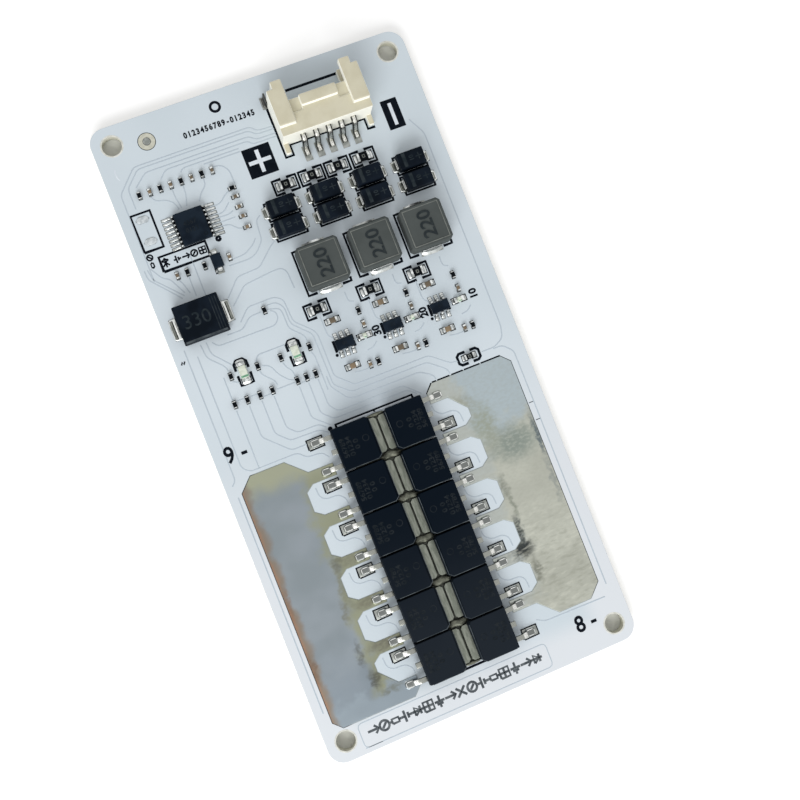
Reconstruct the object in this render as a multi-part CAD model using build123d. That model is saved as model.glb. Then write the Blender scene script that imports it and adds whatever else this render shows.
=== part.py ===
from build123d import *
import os

# Circuit board. Y runs from the power end to the connector end, X from the load side to the battery side.
board_thickness = 1.6
corner_radius = 2.5
hole_radius = 1.5
hole_inset = 3.0
copper_thickness = 0.07

# Rows of the cell side, as clear distances down from the connector edge
connector_setback = 3.5
sense_row_gap = 1.575
diode_row_gap = 1.175
diode_pair_gap = 0.6
inductor_row_gap = 2.25
bleed_row_gap = 1.725
filter_row_gap = 1.325
balance_row_gap = 1.95
store_row_gap = 1.7
link_row_gap = 4.25
array_gap = 2.25
rear_margin = 5.9

# Rows of the monitor side, as clear distances down from the connector edge
address_row_setback = 10.8
monitor_row_gap = 3.95
guard_row_gap = 3.05
supply_row_gap = 3.95
lamp_row_gap = 4.9
ladder_row_gap = 2.15

# Columns. The monitor side lies left of the cell side.
monitor_zone_width = 19.52
side_margin = 2.68
diode_columns = 4
diode_column_gap = 1.75
connector_shift = 0.28
sense_shift = -2.27
sense_pitch = 4.18
inductor_shift = 0.32
inductor_gap = 1.66
balance_shift = -1.32
balance_pitch = 7.75
cell_count = 3

# Power transistors in two facing columns with their tabs to the middle
transistor_rows = 6
transistor_row_gap = 0.16
array_shift = -0.38
body_length = 6.1
body_width = 6.6
body_height = 2.3
body_parting = 1.0
body_draft = 6.0
body_corner = 0.5
body_bevel = 0.55
tab_length = 5.2
tab_width = 5.45
tab_thickness = 0.5
tab_reach = 1.05
tab_gap = 0.24
tab_corner = 0.35
lead_pitch = 4.57
lead_width = 0.76
lead_thickness = 0.5
lead_reach = 3.1
lead_level = 0.95
lead_foot = 1.15
lead_rise = 0.62
lead_bend = 0.35
lead_root = 0.6
stub_reach = 0.85
stub_width = 0.8

# Bare copper areas beside the transistors
finger_width = 1.8
finger_length = 5.15
finger_tip_setback = 1.26
flare_length = 1.3
flare_rise = 0.95
entry_length = 2.4
entry_rise = 2.6
shoulder_rise = 1.965
shoulder_cut = 1.25
slope_length = 2.8
slope_rise = 2.685
outer_cut = 2.0
load_pad_margin = 2.15
battery_pad_margin = 2.95
land_margin = 0.15
drain_pad_reach = 5.6
drain_pad_overhang = 0.3
gate_pad_length = 2.25
gate_pad_width = 1.4

# Cell connector, entered from the board's edge
pin_count = 5
pin_pitch = 2.0
pin_size = 0.5
pin_height = 2.9
pin_tip_setback = 0.7
pin_bend = 0.55
pin_exit = 0.55
pin_slope = 0.85
pin_foot = 1.1
pin_pad_width = 1.1
pin_pad_overhang = 0.8
housing_width = 14.2
housing_depth = 8.0
housing_height = 4.7
roof_setback = 3.0
arm_width = 2.6
arm_height = 5.5
arm_step_length = 1.1
arm_step_width = 0.95
arm_block_setback = 1.3
floor_thickness = 1.2
roof_thickness = 0.6
rear_wall = 1.3
guide_depth = 0.6
latch_width = 5.7
latch_length = 1.65
latch_height = 0.65
groove_depth = 0.25
groove_length = 2.1
leg_width = 0.85
leg_length = 1.5
leg_height = 1.1
edge_break = 0.18
hold_down_width = 1.5
hold_down_thickness = 0.25
hold_down_height = 2.2
hold_down_foot = 0.3
hold_down_setback = 0.1
hold_down_land_margin = 0.2

# Shielded power inductors
core_size = 6.6
core_height = 3.0
core_corner = 0.45
core_edge = 0.2
core_panel_inset = 0.5
core_panel_depth = 0.06
inductor_strap_width = 3.2
inductor_strap_thickness = 0.2
inductor_strap_height = 1.2
inductor_strap_foot = 1.4
inductor_pad_length = 2.1
inductor_pad_overhang = 0.55

# Moulded diodes, in the small size for the cells and the large size for the supply
cell_diode_length = 4.3
cell_diode_width = 2.6
cell_diode_height = 2.2
cell_strap_width = 1.5
supply_diode_length = 7.0
supply_diode_width = 5.9
supply_diode_height = 2.4
supply_strap_width = 3.1
diode_draft = 5.0
diode_strap_thickness = 0.15
diode_strap_foot = 1.1
diode_pad_overhang = 0.3

# Monitor chip with eight leads on each side
monitor_body_length = 5.0
monitor_body_width = 4.4
monitor_body_height = 1.05
monitor_leads_a_side = 8
monitor_lead_pitch = 0.65
monitor_lead_width = 0.24
monitor_lead_reach = 1.05
monitor_land = 1.6
monitor_land_width = 0.36
fine_lead_thickness = 0.14
fine_lead_slope = 0.22
fine_lead_exit = 0.25
chip_standoff = 0.1
chip_draft = 10.0
dimple_radius = 0.3
dimple_depth = 0.05
dimple_inset = 0.75

# Balance chips with three leads on each side
balance_body_length = 2.9
balance_body_width = 1.6
balance_body_height = 1.1
balance_leads_a_side = 3
balance_lead_pitch = 0.95
balance_lead_width = 0.38
balance_lead_reach = 0.7
balance_land = 0.85
balance_land_width = 0.55

# Clamp diode beside the monitor chip
clamp_body_length = 2.1
clamp_body_width = 1.6
clamp_body_height = 1.1
clamp_lead_width = 0.7
clamp_lead_reach = 0.6
clamp_land = 0.6
clamp_land_width = 1.0

# Chip resistors, capacitors and lamps in their three case sizes
chip_relief = 0.03
small_length = 1.0
small_width = 0.5
small_height = 0.38
small_cap = 0.25
medium_length = 1.6
medium_width = 0.8
medium_height = 0.5
medium_cap = 0.35
large_length = 2.0
large_width = 1.25
large_height = 0.55
large_cap = 0.42
lamp_length = 2.9
lamp_width = 1.25
lamp_base_height = 0.35
lamp_cap = 0.5
lamp_lens_height = 0.45
lamp_lens_draft = 12.0
small_lamp_length = 1.6
small_lamp_width = 0.8

# Small chips of the monitor side, as distances in from the board's left edge
address_first = 4.1
address_pitch = 1.614
address_count = 8
probe_inset = 3.22
probe_pitch = 3.4
probe_length = 2.1
probe_width = 1.1
probe_drop = 5.2
monitor_inset = 9.75
bypass_inset = 17.2
bypass_drops = (3.5, 4.85, 6.45, 7.95, 9.7)
guard_insets = (5.0, 6.55, 9.25, 13.1)
clamp_inset = 11.2
supply_inset = 5.9
pull_up_inset = 15.0
pull_up_drop = 1.85
lamp_insets = (8.8, 17.05)
lamp_side_insets = (6.85, 11.05, 14.7, 19.25)
ladder_insets = (5.9, 7.85, 9.85, 11.8, 15.75, 17.2, 18.65)

# Small chips of one balance group, as distances from the balance chip
bleed_shifts = (-1.95, -1.2, -1.25)
filter_shift = -0.45
store_shift = -0.1
drive_shift = 3.75
cell_lamp_shift = 3.25
cell_tap_shift = 2.45
small_chip_drop = 0.75
bypass_rise = 1.7
link_shift = 7.88

# Sighting mark for assembly
mark_inset_x = 8.0
mark_inset_y = 4.0
sight_radius = 0.55


# Driven layout
housing_half = housing_width / 2
pin_reach = pin_exit + pin_slope + pin_foot
connector_rear = connector_setback + housing_depth
pin_pad_end = connector_rear + pin_reach + pin_pad_overhang
sense_row = pin_pad_end + sense_row_gap + large_width / 2
upper_diode_row = sense_row + large_width / 2 + diode_row_gap + cell_diode_width / 2
lower_diode_row = upper_diode_row + cell_diode_width + diode_pair_gap
inductor_half = core_size / 2 + inductor_strap_thickness
inductor_row = lower_diode_row + cell_diode_width / 2 + inductor_row_gap + inductor_half
bleed_row = inductor_row + inductor_half + bleed_row_gap + large_width / 2
filter_row = bleed_row + large_width / 2 + filter_row_gap + medium_width / 2
balance_half = balance_body_width / 2 + balance_lead_reach
balance_row = filter_row + medium_width / 2 + balance_row_gap + balance_half
store_row = balance_row + balance_half + store_row_gap + medium_width / 2
link_row = store_row + medium_width + link_row_gap
array_start = link_row + medium_width / 2 + array_gap
transistor_pitch = body_width + transistor_row_gap
array_length = transistor_rows * transistor_pitch - transistor_row_gap
board_length = array_start + array_length + rear_margin

address_row = address_row_setback + small_length / 2
monitor_row = address_row + small_length / 2 + monitor_row_gap + monitor_body_length / 2
guard_row = monitor_row + monitor_body_length / 2 + guard_row_gap + small_length / 2
supply_row = guard_row + small_length / 2 + supply_row_gap + supply_diode_width / 2
lamp_row = supply_row + supply_diode_width / 2 + lamp_row_gap + lamp_length / 2
ladder_row = lamp_row + lamp_length / 2 + ladder_row_gap + small_length / 2

diode_pitch = cell_diode_length + 2 * diode_strap_thickness + 2 * diode_pad_overhang + diode_column_gap
cell_axis = monitor_zone_width + diode_columns * diode_pitch / 2
board_width = monitor_zone_width + diode_columns * diode_pitch + side_margin
array_axis = board_width / 2 + array_shift
array_middle = array_start + array_length / 2
body_start = tab_gap / 2 + tab_reach
body_end = body_start + body_length
lead_tip = body_end + lead_reach
finger_tip = body_end + finger_tip_setback
pad_top = board_thickness + copper_thickness


def place(inset, drop, height=pad_top, turn=0):
    """Frame at a distance in from the left edge and down from the connector edge."""
    return Pos(inset - board_width / 2, board_length / 2 - drop, height) * Rot(Z=turn)


def centred_row(axis, pitch, count):
    """Evenly spaced places about an axis."""
    return [axis + (index - (count - 1) / 2) * pitch for index in range(count)]


def strip(path, thickness, width):
    """Flat metal drawn as a path in X and height, thickened to the path's left."""
    outline = offset(path, amount=thickness, side=Side.LEFT, kind=Kind.INTERSECTION)
    return extrude(Plane.XZ * make_face(outline), amount=width / 2, both=True)


def copper(sketch):
    """Copper area on the board's upper face."""
    return extrude(Pos(Z=board_thickness) * sketch, amount=copper_thickness)


def moulded_body(plan, height, parting, draft):
    """Moulded case whose walls lean in above and below the line where the mould parts."""
    middle = Pos(Z=parting) * plan
    upper = extrude(middle, amount=height - parting, taper=draft)
    lower = extrude(middle, amount=-parting, taper=draft)
    return upper + lower


def save(name, *solids):
    """Write one named piece, or one group of like pieces."""
    export_step(Compound(list(solids)), f"parts/{name}.step")


# Circuit board
def circuit_board():
    outline = RectangleRounded(board_width, board_length, corner_radius)
    spacing_x = board_width - 2 * hole_inset
    spacing_y = board_length - 2 * hole_inset
    outline -= GridLocations(spacing_x, spacing_y, 2, 2) * Circle(hole_radius)
    return extrude(outline, amount=board_thickness)


# Bare copper
def comb_pad(outer):
    """Power pad with one finger for each source lead, seen from the middle of the array."""
    root = finger_tip + finger_length
    half = finger_width / 2
    rows = centred_row(lead_pitch / 2, transistor_pitch, transistor_rows)
    first, last = rows[-1], rows[0]
    top = first + shoulder_rise
    bottom = last - half - slope_rise
    points = [
        (finger_tip, top - shoulder_cut),
        (finger_tip + shoulder_cut, top),
        (outer - shoulder_cut, top),
        (outer, top - shoulder_cut),
        (outer, bottom + outer_cut),
        (outer - outer_cut, bottom),
        (root - flare_length + slope_length, bottom),
        (root - flare_length, last - half),
        (finger_tip, last - half),
    ]
    for low, high in zip(rows, rows[1:]):
        entry = high == first
        length = entry_length if entry else flare_length
        rise = entry_rise if entry else flare_rise
        points += [
            (finger_tip, low + half),
            (root - flare_length, low + half),
            (root, low + half + flare_rise),
            (root, high - half - rise),
            (root - length, high - half),
            (finger_tip, high - half),
        ]
    return make_face(Polyline(*points, close=True))


def at_array(shape, side):
    """Set a shape drawn for the right half beside the array, or turned about its middle."""
    turn = 0 if side == "right" else 180
    return place(array_axis, array_middle, 0, turn) * shape


def drain_pad():
    length = (transistor_rows - 1) * transistor_pitch + tab_width + 2 * drain_pad_overhang
    return at_array(copper(Rectangle(2 * drain_pad_reach, length)), "right")


def land(inset, drop, length, width):
    """One rectangular land for a soldered terminal."""
    return place(inset, drop, 0) * copper(Rectangle(length, width))


def gate_lands():
    rows = centred_row(0, transistor_pitch, transistor_rows)
    across = lead_tip - lead_foot / 2
    pad = copper(Rectangle(gate_pad_length, gate_pad_width))
    lands = [Pos(across, y - lead_pitch / 2) * pad for y in rows]
    return [at_array(pad, side) for side in ("left", "right") for pad in lands]


def pair_lands(inset, drop, half_span, length, width, upright=False):
    """Two lands at the ends of a part, whose outer edges lie half a span from its middle."""
    reach = half_span - length / 2
    if upright:
        return [land(inset, drop + side * reach, width, length) for side in (-1, 1)]
    return [land(inset + side * reach, drop, length, width) for side in (-1, 1)]


def diode_lands():
    foot = diode_strap_foot + diode_pad_overhang
    half = cell_diode_length / 2 + diode_strap_thickness + diode_pad_overhang
    lands = []
    for inset in diode_insets():
        for drop in (upper_diode_row, lower_diode_row):
            lands += pair_lands(inset, drop, half, foot, cell_strap_width + 2 * land_margin)
    half += (supply_diode_length - cell_diode_length) / 2
    lands += pair_lands(supply_inset, supply_row, half, foot, supply_strap_width + 2 * land_margin)
    return lands


def inductor_lands():
    half = inductor_half + inductor_pad_overhang
    width = inductor_strap_width + 2 * land_margin
    lands = []
    for inset in inductor_insets():
        lands += pair_lands(inset, inductor_row, half, inductor_pad_length, width, True)
    return lands


def connector_lands():
    length = pin_foot + pin_pad_overhang + pin_slope / 2
    drop = pin_pad_end - length / 2
    lands = [land(inset, drop, pin_pad_width, length) for inset in pin_insets()]
    foot = hold_down_foot + hold_down_thickness + hold_down_land_margin
    across = housing_half + foot / 2
    width = hold_down_width + 2 * hold_down_land_margin
    for side in (-1, 1):
        lands.append(land(connector_axis + side * across, hold_down_drop, foot, width))
    return lands


def lead_lands(seat, half, pitch, count, size):
    """Lands under two rows of fine leads, which start a little out from the case."""
    length, width = size
    pad = Pos(X=fine_lead_exit + length / 2) * copper(Rectangle(length, width))
    return [seat * spot for spot in lead_rows(pad, half, pitch, count)]


def chip_lands():
    monitor = (monitor_body_width / 2, monitor_lead_pitch, monitor_leads_a_side)
    lands = lead_lands(place(monitor_inset, monitor_row, 0), *monitor, (monitor_land, monitor_land_width))
    balance = (balance_body_width / 2, balance_lead_pitch, balance_leads_a_side)
    for inset in balance_insets():
        seat = place(inset, balance_row, 0, 90)
        lands += lead_lands(seat, *balance, (balance_land, balance_land_width))
    clamp = (clamp_body_length / 2, 0, 1)
    seat = place(clamp_inset, guard_row, 0, 90)
    return lands + lead_lands(seat, *clamp, (clamp_land, clamp_land_width))


def probe_lands():
    slot = SlotOverall(probe_length, probe_width)
    drops = centred_row(address_row + probe_drop, probe_pitch, 2)
    return [place(probe_inset, drop, 0) * copper(slot) for drop in drops]


def sighting_mark():
    return place(mark_inset_x, mark_inset_y, 0) * copper(Circle(sight_radius))


# Power transistors
def transistor_tab():
    """Heat tab under the case, with cut corners where it shows."""
    tab = Pos(X=tab_gap / 2 + tab_length / 2) * Rectangle(tab_length, tab_width)
    tab = chamfer(tab.vertices().group_by(Axis.X)[0], tab_corner)
    return extrude(tab, amount=tab_thickness)


def transistor_stub():
    """Centre lead, cut short beside the case."""
    path = Line((body_end - lead_root, lead_rise), (body_end + stub_reach, lead_rise))
    return strip(path, lead_thickness, stub_width)


def transistor_lead():
    """Outer lead that leaves the case at mid height and drops to its foot."""
    heel = lead_tip - lead_foot
    knee = body_end + lead_level
    path = FilletPolyline(
        (body_end - lead_root, lead_rise), (knee, lead_rise), (heel, 0), (lead_tip, 0), radius=lead_bend
    )
    return strip(path, lead_thickness, lead_width)


def transistor_frame():
    lead = transistor_lead()
    outer = [Pos(Y=side * lead_pitch / 2) * lead for side in (-1, 1)]
    return [transistor_tab(), transistor_stub(), *outer]


def transistor_body(frame):
    """Case with cut corners and a bevelled edge over the tab, closed round the metal that leaves it."""
    plan = Pos(X=body_start + body_length / 2) * Rectangle(body_length, body_width)
    plan = chamfer(plan.vertices().group_by(Axis.X)[0], body_corner)
    case = moulded_body(plan, body_height, body_parting, body_draft)
    rim = case.faces().sort_by(Axis.Z)[-1].edges().sort_by(Axis.X)[0]
    case = chamfer(rim, body_bevel, body_bevel / 2)
    for metal in frame:
        case -= metal
    return case


def save_transistors():
    frame = transistor_frame()
    body = transistor_body(frame)
    rows = centred_row(0, transistor_pitch, transistor_rows)
    for side, order in (("left", rows), ("right", rows[::-1])):
        for number, y in enumerate(order, 1):
            seat = Pos(0, y, pad_top)
            save(f"transistor_{side}_{number}_body", at_array(seat * body, side))
            save(f"transistor_{side}_{number}_frame", *[at_array(seat * metal, side) for metal in frame])


# Cell connector
connector_axis = cell_axis + connector_shift
hold_down_drop = connector_setback + hold_down_setback + hold_down_width / 2


def pin_insets():
    return centred_row(connector_axis, pin_pitch, pin_count)


def housing_shell():
    """Shroud: a roofed box at the rear and an arm on each side that reaches to the front."""
    body_depth = housing_depth - roof_setback
    box = Pos(Y=-roof_setback - body_depth / 2) * Rectangle(housing_width, body_depth)
    shell = extrude(box, amount=housing_height)
    arm_depth = housing_depth - arm_block_setback
    for side in (-1, 1):
        middle = side * (housing_half - arm_width / 2)
        arm = Pos(middle, -arm_depth / 2) * Rectangle(arm_width, arm_depth)
        outer = Pos(side * (housing_half - arm_step_width / 2), -arm_step_length / 2)
        arm -= outer * Rectangle(arm_step_width, arm_step_length)
        block = extrude(arm, amount=arm_height)
        rear = block.faces().sort_by(Axis.Z)[-1].edges().sort_by(Axis.Y)[0]
        shell += chamfer(rear, edge_break)
        leg = Pos(side * (housing_half - leg_width / 2), -housing_depth - leg_length / 2)
        shell += extrude(leg * Rectangle(leg_width, leg_length), amount=leg_height)
    return shell


def housing_latch():
    """Raised bar on the roof that the plug's latch rides over."""
    face = Pos(0, -roof_setback - latch_length / 2, housing_height) * Rectangle(latch_width, latch_length)
    bar = extrude(face, amount=latch_height)
    rear = bar.faces().sort_by(Axis.Z)[-1].edges().sort_by(Axis.Y)[0]
    return chamfer(rear, edge_break)


def housing_cavity():
    """Space for the plug, open to the front and closed by the rear wall."""
    width = housing_width - 2 * arm_width + 2 * guide_depth
    depth = housing_depth - rear_wall
    height = housing_height - floor_thickness - roof_thickness
    return Pos(0, -depth / 2, floor_thickness + height / 2) * Box(width, depth, height)


def housing_grooves():
    """Shallow guide on the roof at each side of the latch bar."""
    inner = housing_half - arm_width
    width = inner - latch_width / 2
    middle = (inner + latch_width / 2) / 2
    groove = Box(width, groove_length, groove_depth, align=(Align.CENTER, Align.MAX, Align.MAX))
    return [Pos(side * middle, -roof_setback, housing_height) * groove for side in (-1, 1)]


def connector_pin():
    """Square pin from inside the shroud, out through the rear wall and down to its land."""
    wall = housing_depth
    heel = wall + pin_exit + pin_slope
    tip = heel + pin_foot
    path = FilletPolyline(
        (roof_setback + pin_tip_setback, pin_height - pin_size / 2),
        (wall + pin_exit, pin_height - pin_size / 2),
        (heel, 0),
        (tip, 0),
        radius=pin_bend,
    )
    return Rot(Z=-90) * strip(path, pin_size, pin_size)


def hold_down(side):
    """Angle plate against the arm's outer wall, soldered to the board by its foot."""
    path = Polyline((0, hold_down_height), (0, 0), (hold_down_thickness + hold_down_foot, 0))
    plate = Rot(Z=0 if side > 0 else 180) * strip(path, hold_down_thickness, hold_down_width)
    return Pos(connector_axis + side * housing_half - board_width / 2) * plate


def save_connector():
    spot = place(connector_axis, connector_setback)
    pin = connector_pin()
    pins = [place(inset, connector_setback) * pin for inset in pin_insets()]
    housing = housing_shell() + housing_latch() - housing_cavity()
    for groove in housing_grooves():
        housing -= groove
    housing = spot * housing
    for metal in pins:
        housing -= metal
    save("connector_housing", housing)
    save("connector_pins", *pins)
    height = board_length / 2 - hold_down_drop
    save("connector_hold_downs", *[Pos(0, height, pad_top) * hold_down(side) for side in (-1, 1)])


# Shielded inductors
def inductor_insets():
    return centred_row(cell_axis + inductor_shift, core_size + inductor_gap, cell_count)


def inductor_core():
    """Pressed block with cut corners, broken edges and a sunken panel outline on top."""
    block = extrude(Rectangle(core_size, core_size), amount=core_height - inductor_strap_thickness)
    block = chamfer(block.edges().filter_by(Axis.Z), core_corner)
    block = chamfer(block.faces().sort_by(Axis.Z)[-1].edges(), core_edge)
    panel = core_size - 2 * core_panel_inset
    recess = Box(panel, panel, core_panel_depth, align=(Align.CENTER, Align.CENTER, Align.MAX))
    block -= Pos(Z=core_height - inductor_strap_thickness) * recess
    return Pos(Z=inductor_strap_thickness) * block


def end_strap(reach, thickness, height, foot, width):
    """Angle strap that runs up the end of a case, with its foot under the case."""
    outer = reach + thickness
    path = Polyline((reach - foot, 0), (outer, 0), (outer, height))
    return strip(path, thickness, width)


def inductor_straps():
    strap = end_strap(
        core_size / 2, inductor_strap_thickness, inductor_strap_height, inductor_strap_foot, inductor_strap_width
    )
    return [Rot(Z=turn) * strap for turn in (90, -90)]


# Moulded diodes
def diode_insets():
    return centred_row(cell_axis, diode_pitch, diode_columns)


def diode_body(length, width, height):
    rise = height - diode_strap_thickness
    return Pos(Z=diode_strap_thickness) * moulded_body(Rectangle(length, width), rise, rise / 2, diode_draft)


def diode_straps(length, height, width):
    strap = end_strap(length / 2, diode_strap_thickness, height / 2 + diode_strap_thickness, diode_strap_foot, width)
    return [strap, Rot(Z=180) * strap]


def save_diodes():
    case = diode_body(cell_diode_length, cell_diode_width, cell_diode_height)
    straps = diode_straps(cell_diode_length, cell_diode_height, cell_strap_width)
    metal = []
    for row, drop in (("upper", upper_diode_row), ("lower", lower_diode_row)):
        for number, inset in enumerate(diode_insets(), 1):
            seat = place(inset, drop)
            save(f"cell_diode_{row}_{number}", seat * case)
            metal += [seat * strap for strap in straps]
    save("cell_diode_straps", *metal)
    seat = place(supply_inset, supply_row)
    save("supply_diode_body", seat * diode_body(supply_diode_length, supply_diode_width, supply_diode_height))
    straps = diode_straps(supply_diode_length, supply_diode_height, supply_strap_width)
    save("supply_diode_straps", *[seat * strap for strap in straps])


def save_inductors():
    core = inductor_core()
    straps = inductor_straps()
    metal = []
    for number, inset in enumerate(inductor_insets(), 1):
        seat = place(inset, inductor_row)
        save(f"inductor_{number}_core", seat * core)
        metal += [seat * strap for strap in straps]
    save("inductor_straps", *metal)


# Chips with fine leads
def chip_body(length, width, height):
    rise = height - chip_standoff
    return Pos(Z=chip_standoff) * moulded_body(Rectangle(length, width), rise, rise / 2, chip_draft)


def fine_lead(height, reach, width):
    """Lead that starts on the case's parting line, steps down and ends in a flat foot."""
    top = chip_standoff + (height - chip_standoff) / 2 - fine_lead_thickness / 2
    path = Polyline((0, top), (fine_lead_exit, top), (fine_lead_exit + fine_lead_slope, 0), (reach, 0))
    return strip(path, fine_lead_thickness, width)


def lead_rows(lead, half, pitch, count):
    """Leads along both long sides of a chip whose sides lie half its width from the middle."""
    spots = centred_row(0, pitch, count)
    return [Rot(Z=turn) * Pos(half, y) * lead for turn in (0, 180) for y in spots]


def monitor_chip():
    """Case with a round dimple beside its first lead."""
    case = chip_body(monitor_body_width, monitor_body_length, monitor_body_height)
    corner = Pos(
        monitor_body_width / 2 - dimple_inset, dimple_inset - monitor_body_length / 2, monitor_body_height
    )
    case -= corner * Cylinder(dimple_radius, dimple_depth, align=(Align.CENTER, Align.CENTER, Align.MAX))
    lead = fine_lead(monitor_body_height, monitor_lead_reach, monitor_lead_width)
    return case, lead_rows(lead, monitor_body_width / 2, monitor_lead_pitch, monitor_leads_a_side)


def balance_insets():
    return centred_row(cell_axis + balance_shift, balance_pitch, cell_count)


def save_chips():
    case, leads = monitor_chip()
    seat = place(monitor_inset, monitor_row)
    save("monitor_chip_body", seat * case)
    save("monitor_chip_leads", *[seat * lead for lead in leads])
    case = chip_body(balance_body_width, balance_body_length, balance_body_height)
    lead = fine_lead(balance_body_height, balance_lead_reach, balance_lead_width)
    leads = lead_rows(lead, balance_body_width / 2, balance_lead_pitch, balance_leads_a_side)
    metal = []
    for number, inset in enumerate(balance_insets(), 1):
        seat = place(inset, balance_row, turn=90)
        save(f"balance_chip_{number}_body", seat * case)
        metal += [seat * lead for lead in leads]
    save("balance_chip_leads", *metal)


def save_clamp_diode():
    seat = place(clamp_inset, guard_row, turn=90)
    case = chip_body(clamp_body_length, clamp_body_width, clamp_body_height)
    lead = fine_lead(clamp_body_height, clamp_lead_reach, clamp_lead_width)
    save("clamp_diode_body", seat * case)
    return [seat * lead for lead in lead_rows(lead, clamp_body_length / 2, 0, 1)]


# Chip resistors, capacitors and lamps
def block(length, width, low, high):
    return Pos(Z=(low + high) / 2) * Box(length, width, high - low)


def chip_core(length, width, height, cap):
    """Middle of a chip part, a little lower than its soldered ends."""
    return block(length - 2 * cap, width, pad_top, pad_top + height - chip_relief)


def chip_caps(length, width, height, cap):
    """Soldered end caps that reach down to the board through their lands."""
    end = block(cap, width, board_thickness, pad_top + height)
    return [Pos(side * (length - cap) / 2) * end for side in (-1, 1)]


def lamp_core(length, width):
    """Lamp base with a clear lens that stands over it between the end caps."""
    base = block(length - 2 * lamp_cap, width, pad_top, pad_top + lamp_base_height)
    face = Pos(Z=pad_top + lamp_base_height) * Rectangle(length - 2 * lamp_cap, width)
    return base + extrude(face, amount=lamp_lens_height, taper=lamp_lens_draft)


small = (small_length, small_width, small_height, small_cap)
medium = (medium_length, medium_width, medium_height, medium_cap)
large = (large_length, large_width, large_height, large_cap)


def large_resistor_spots():
    """Sense resistors under the connector, bleed resistors under the inductors, and the link."""
    sense = centred_row(cell_axis + sense_shift, sense_pitch, cell_count + 1)
    spots = [(large, inset, sense_row, 0) for inset in sense]
    for inset, shift in zip(balance_insets(), bleed_shifts):
        spots.append((large, inset + shift, bleed_row, 0))
    spots.append((medium, cell_axis + link_shift, link_row, 0))
    return spots


def small_resistor_spots():
    address = [address_first + address_pitch * index for index in range(address_count)]
    spots = [(small, address[index], address_row, 90) for index in (0, 2, 4, 6)]
    spots.append((small, bypass_inset, address_row + bypass_drops[0], 0))
    spots += [(small, inset, guard_row, 90) for inset in guard_insets[1:3]]
    spots.append((small, pull_up_inset, supply_row + pull_up_drop, 90))
    spots += [(small, inset, lamp_row, 90) for inset in lamp_side_insets]
    spots += [(small, inset, ladder_row, 90) for inset in ladder_insets]
    for inset in balance_insets():
        spots.append((small, inset + drive_shift, filter_row, 90))
        spots.append((small, inset + drive_shift, store_row + small_chip_drop, 90))
    return spots


def capacitor_spots():
    address = [address_first + address_pitch * index for index in range(address_count)]
    spots = [(small, address[index], address_row, 90) for index in (1, 3, 5, 7)]
    spots += [(small, bypass_inset, address_row + drop, 0) for drop in bypass_drops[1:]]
    spots += [(small, inset, guard_row, 90) for inset in (guard_insets[0], guard_insets[3])]
    for inset in balance_insets():
        spots.append((medium, inset + filter_shift, filter_row, 0))
        spots.append((medium, inset + store_shift, store_row, 0))
        spots.append((small, inset + drive_shift, balance_row - bypass_rise, 90))
        spots.append((small, inset + cell_tap_shift, store_row + small_chip_drop, 90))
    return spots


def lamp_spots():
    spots = [(lamp_length, lamp_width, inset, lamp_row, 90) for inset in lamp_insets]
    for inset in balance_insets():
        spots.append((small_lamp_length, small_lamp_width, inset + cell_lamp_shift, balance_row, 0))
    return spots


def save_chip_parts(extra_metal):
    metal = list(extra_metal)
    groups = {
        "large_resistors": large_resistor_spots(),
        "small_resistors": small_resistor_spots(),
        "ceramic_capacitors": capacitor_spots(),
    }
    for name, spots in groups.items():
        cores = []
        for case, inset, drop, turn in spots:
            seat = place(inset, drop, 0, turn)
            cores.append(seat * chip_core(*case))
            metal += [seat * cap for cap in chip_caps(*case)]
        save(name, *cores)
    lamps = []
    for length, width, inset, drop, turn in lamp_spots():
        seat = place(inset, drop, 0, turn)
        lamps.append(seat * lamp_core(length, width))
        metal += [seat * cap for cap in chip_caps(length, width, lamp_base_height, lamp_cap)]
    save("indicator_lamps", *lamps)
    save("chip_end_caps", *metal)


def save_board():
    save("circuit_board", circuit_board())
    right = board_width - array_axis - battery_pad_margin
    left = array_axis - load_pad_margin
    save("battery_negative_pad", at_array(copper(comb_pad(right)), "right"))
    save("load_negative_pad", at_array(copper(comb_pad(left)), "left"))
    save("drain_pad", drain_pad())
    lands = gate_lands() + diode_lands() + inductor_lands() + connector_lands() + chip_lands() + probe_lands()
    save("signal_lands", *lands, sighting_mark())


os.makedirs("parts", exist_ok=True)
save_board()
save_transistors()
save_connector()
save_inductors()
save_diodes()
save_chips()
save_chip_parts(save_clamp_diode())
print("board", round(board_width, 3), "by", round(board_length, 3), "mm")
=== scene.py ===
import math
import random

import bmesh
import bpy
from mathutils import Matrix, Vector


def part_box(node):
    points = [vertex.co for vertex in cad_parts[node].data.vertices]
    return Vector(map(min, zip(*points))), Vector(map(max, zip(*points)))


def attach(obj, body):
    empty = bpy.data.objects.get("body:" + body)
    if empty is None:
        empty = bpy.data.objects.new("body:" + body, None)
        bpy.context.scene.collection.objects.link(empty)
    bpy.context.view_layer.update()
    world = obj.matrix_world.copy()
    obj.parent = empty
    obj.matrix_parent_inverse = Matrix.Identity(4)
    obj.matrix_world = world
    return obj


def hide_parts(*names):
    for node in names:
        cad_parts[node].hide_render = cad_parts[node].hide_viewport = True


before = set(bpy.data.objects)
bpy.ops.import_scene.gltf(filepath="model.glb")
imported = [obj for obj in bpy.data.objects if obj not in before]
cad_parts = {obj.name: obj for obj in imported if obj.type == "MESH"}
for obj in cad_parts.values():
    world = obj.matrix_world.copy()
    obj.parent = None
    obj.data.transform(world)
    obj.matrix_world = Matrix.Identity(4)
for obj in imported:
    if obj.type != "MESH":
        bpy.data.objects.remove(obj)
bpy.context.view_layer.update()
print("frame loaded")

mm = 0.001
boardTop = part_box("circuit_board")[1].z / mm
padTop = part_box("drain_pad")[1].z / mm
dice = random.Random(7)


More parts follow.
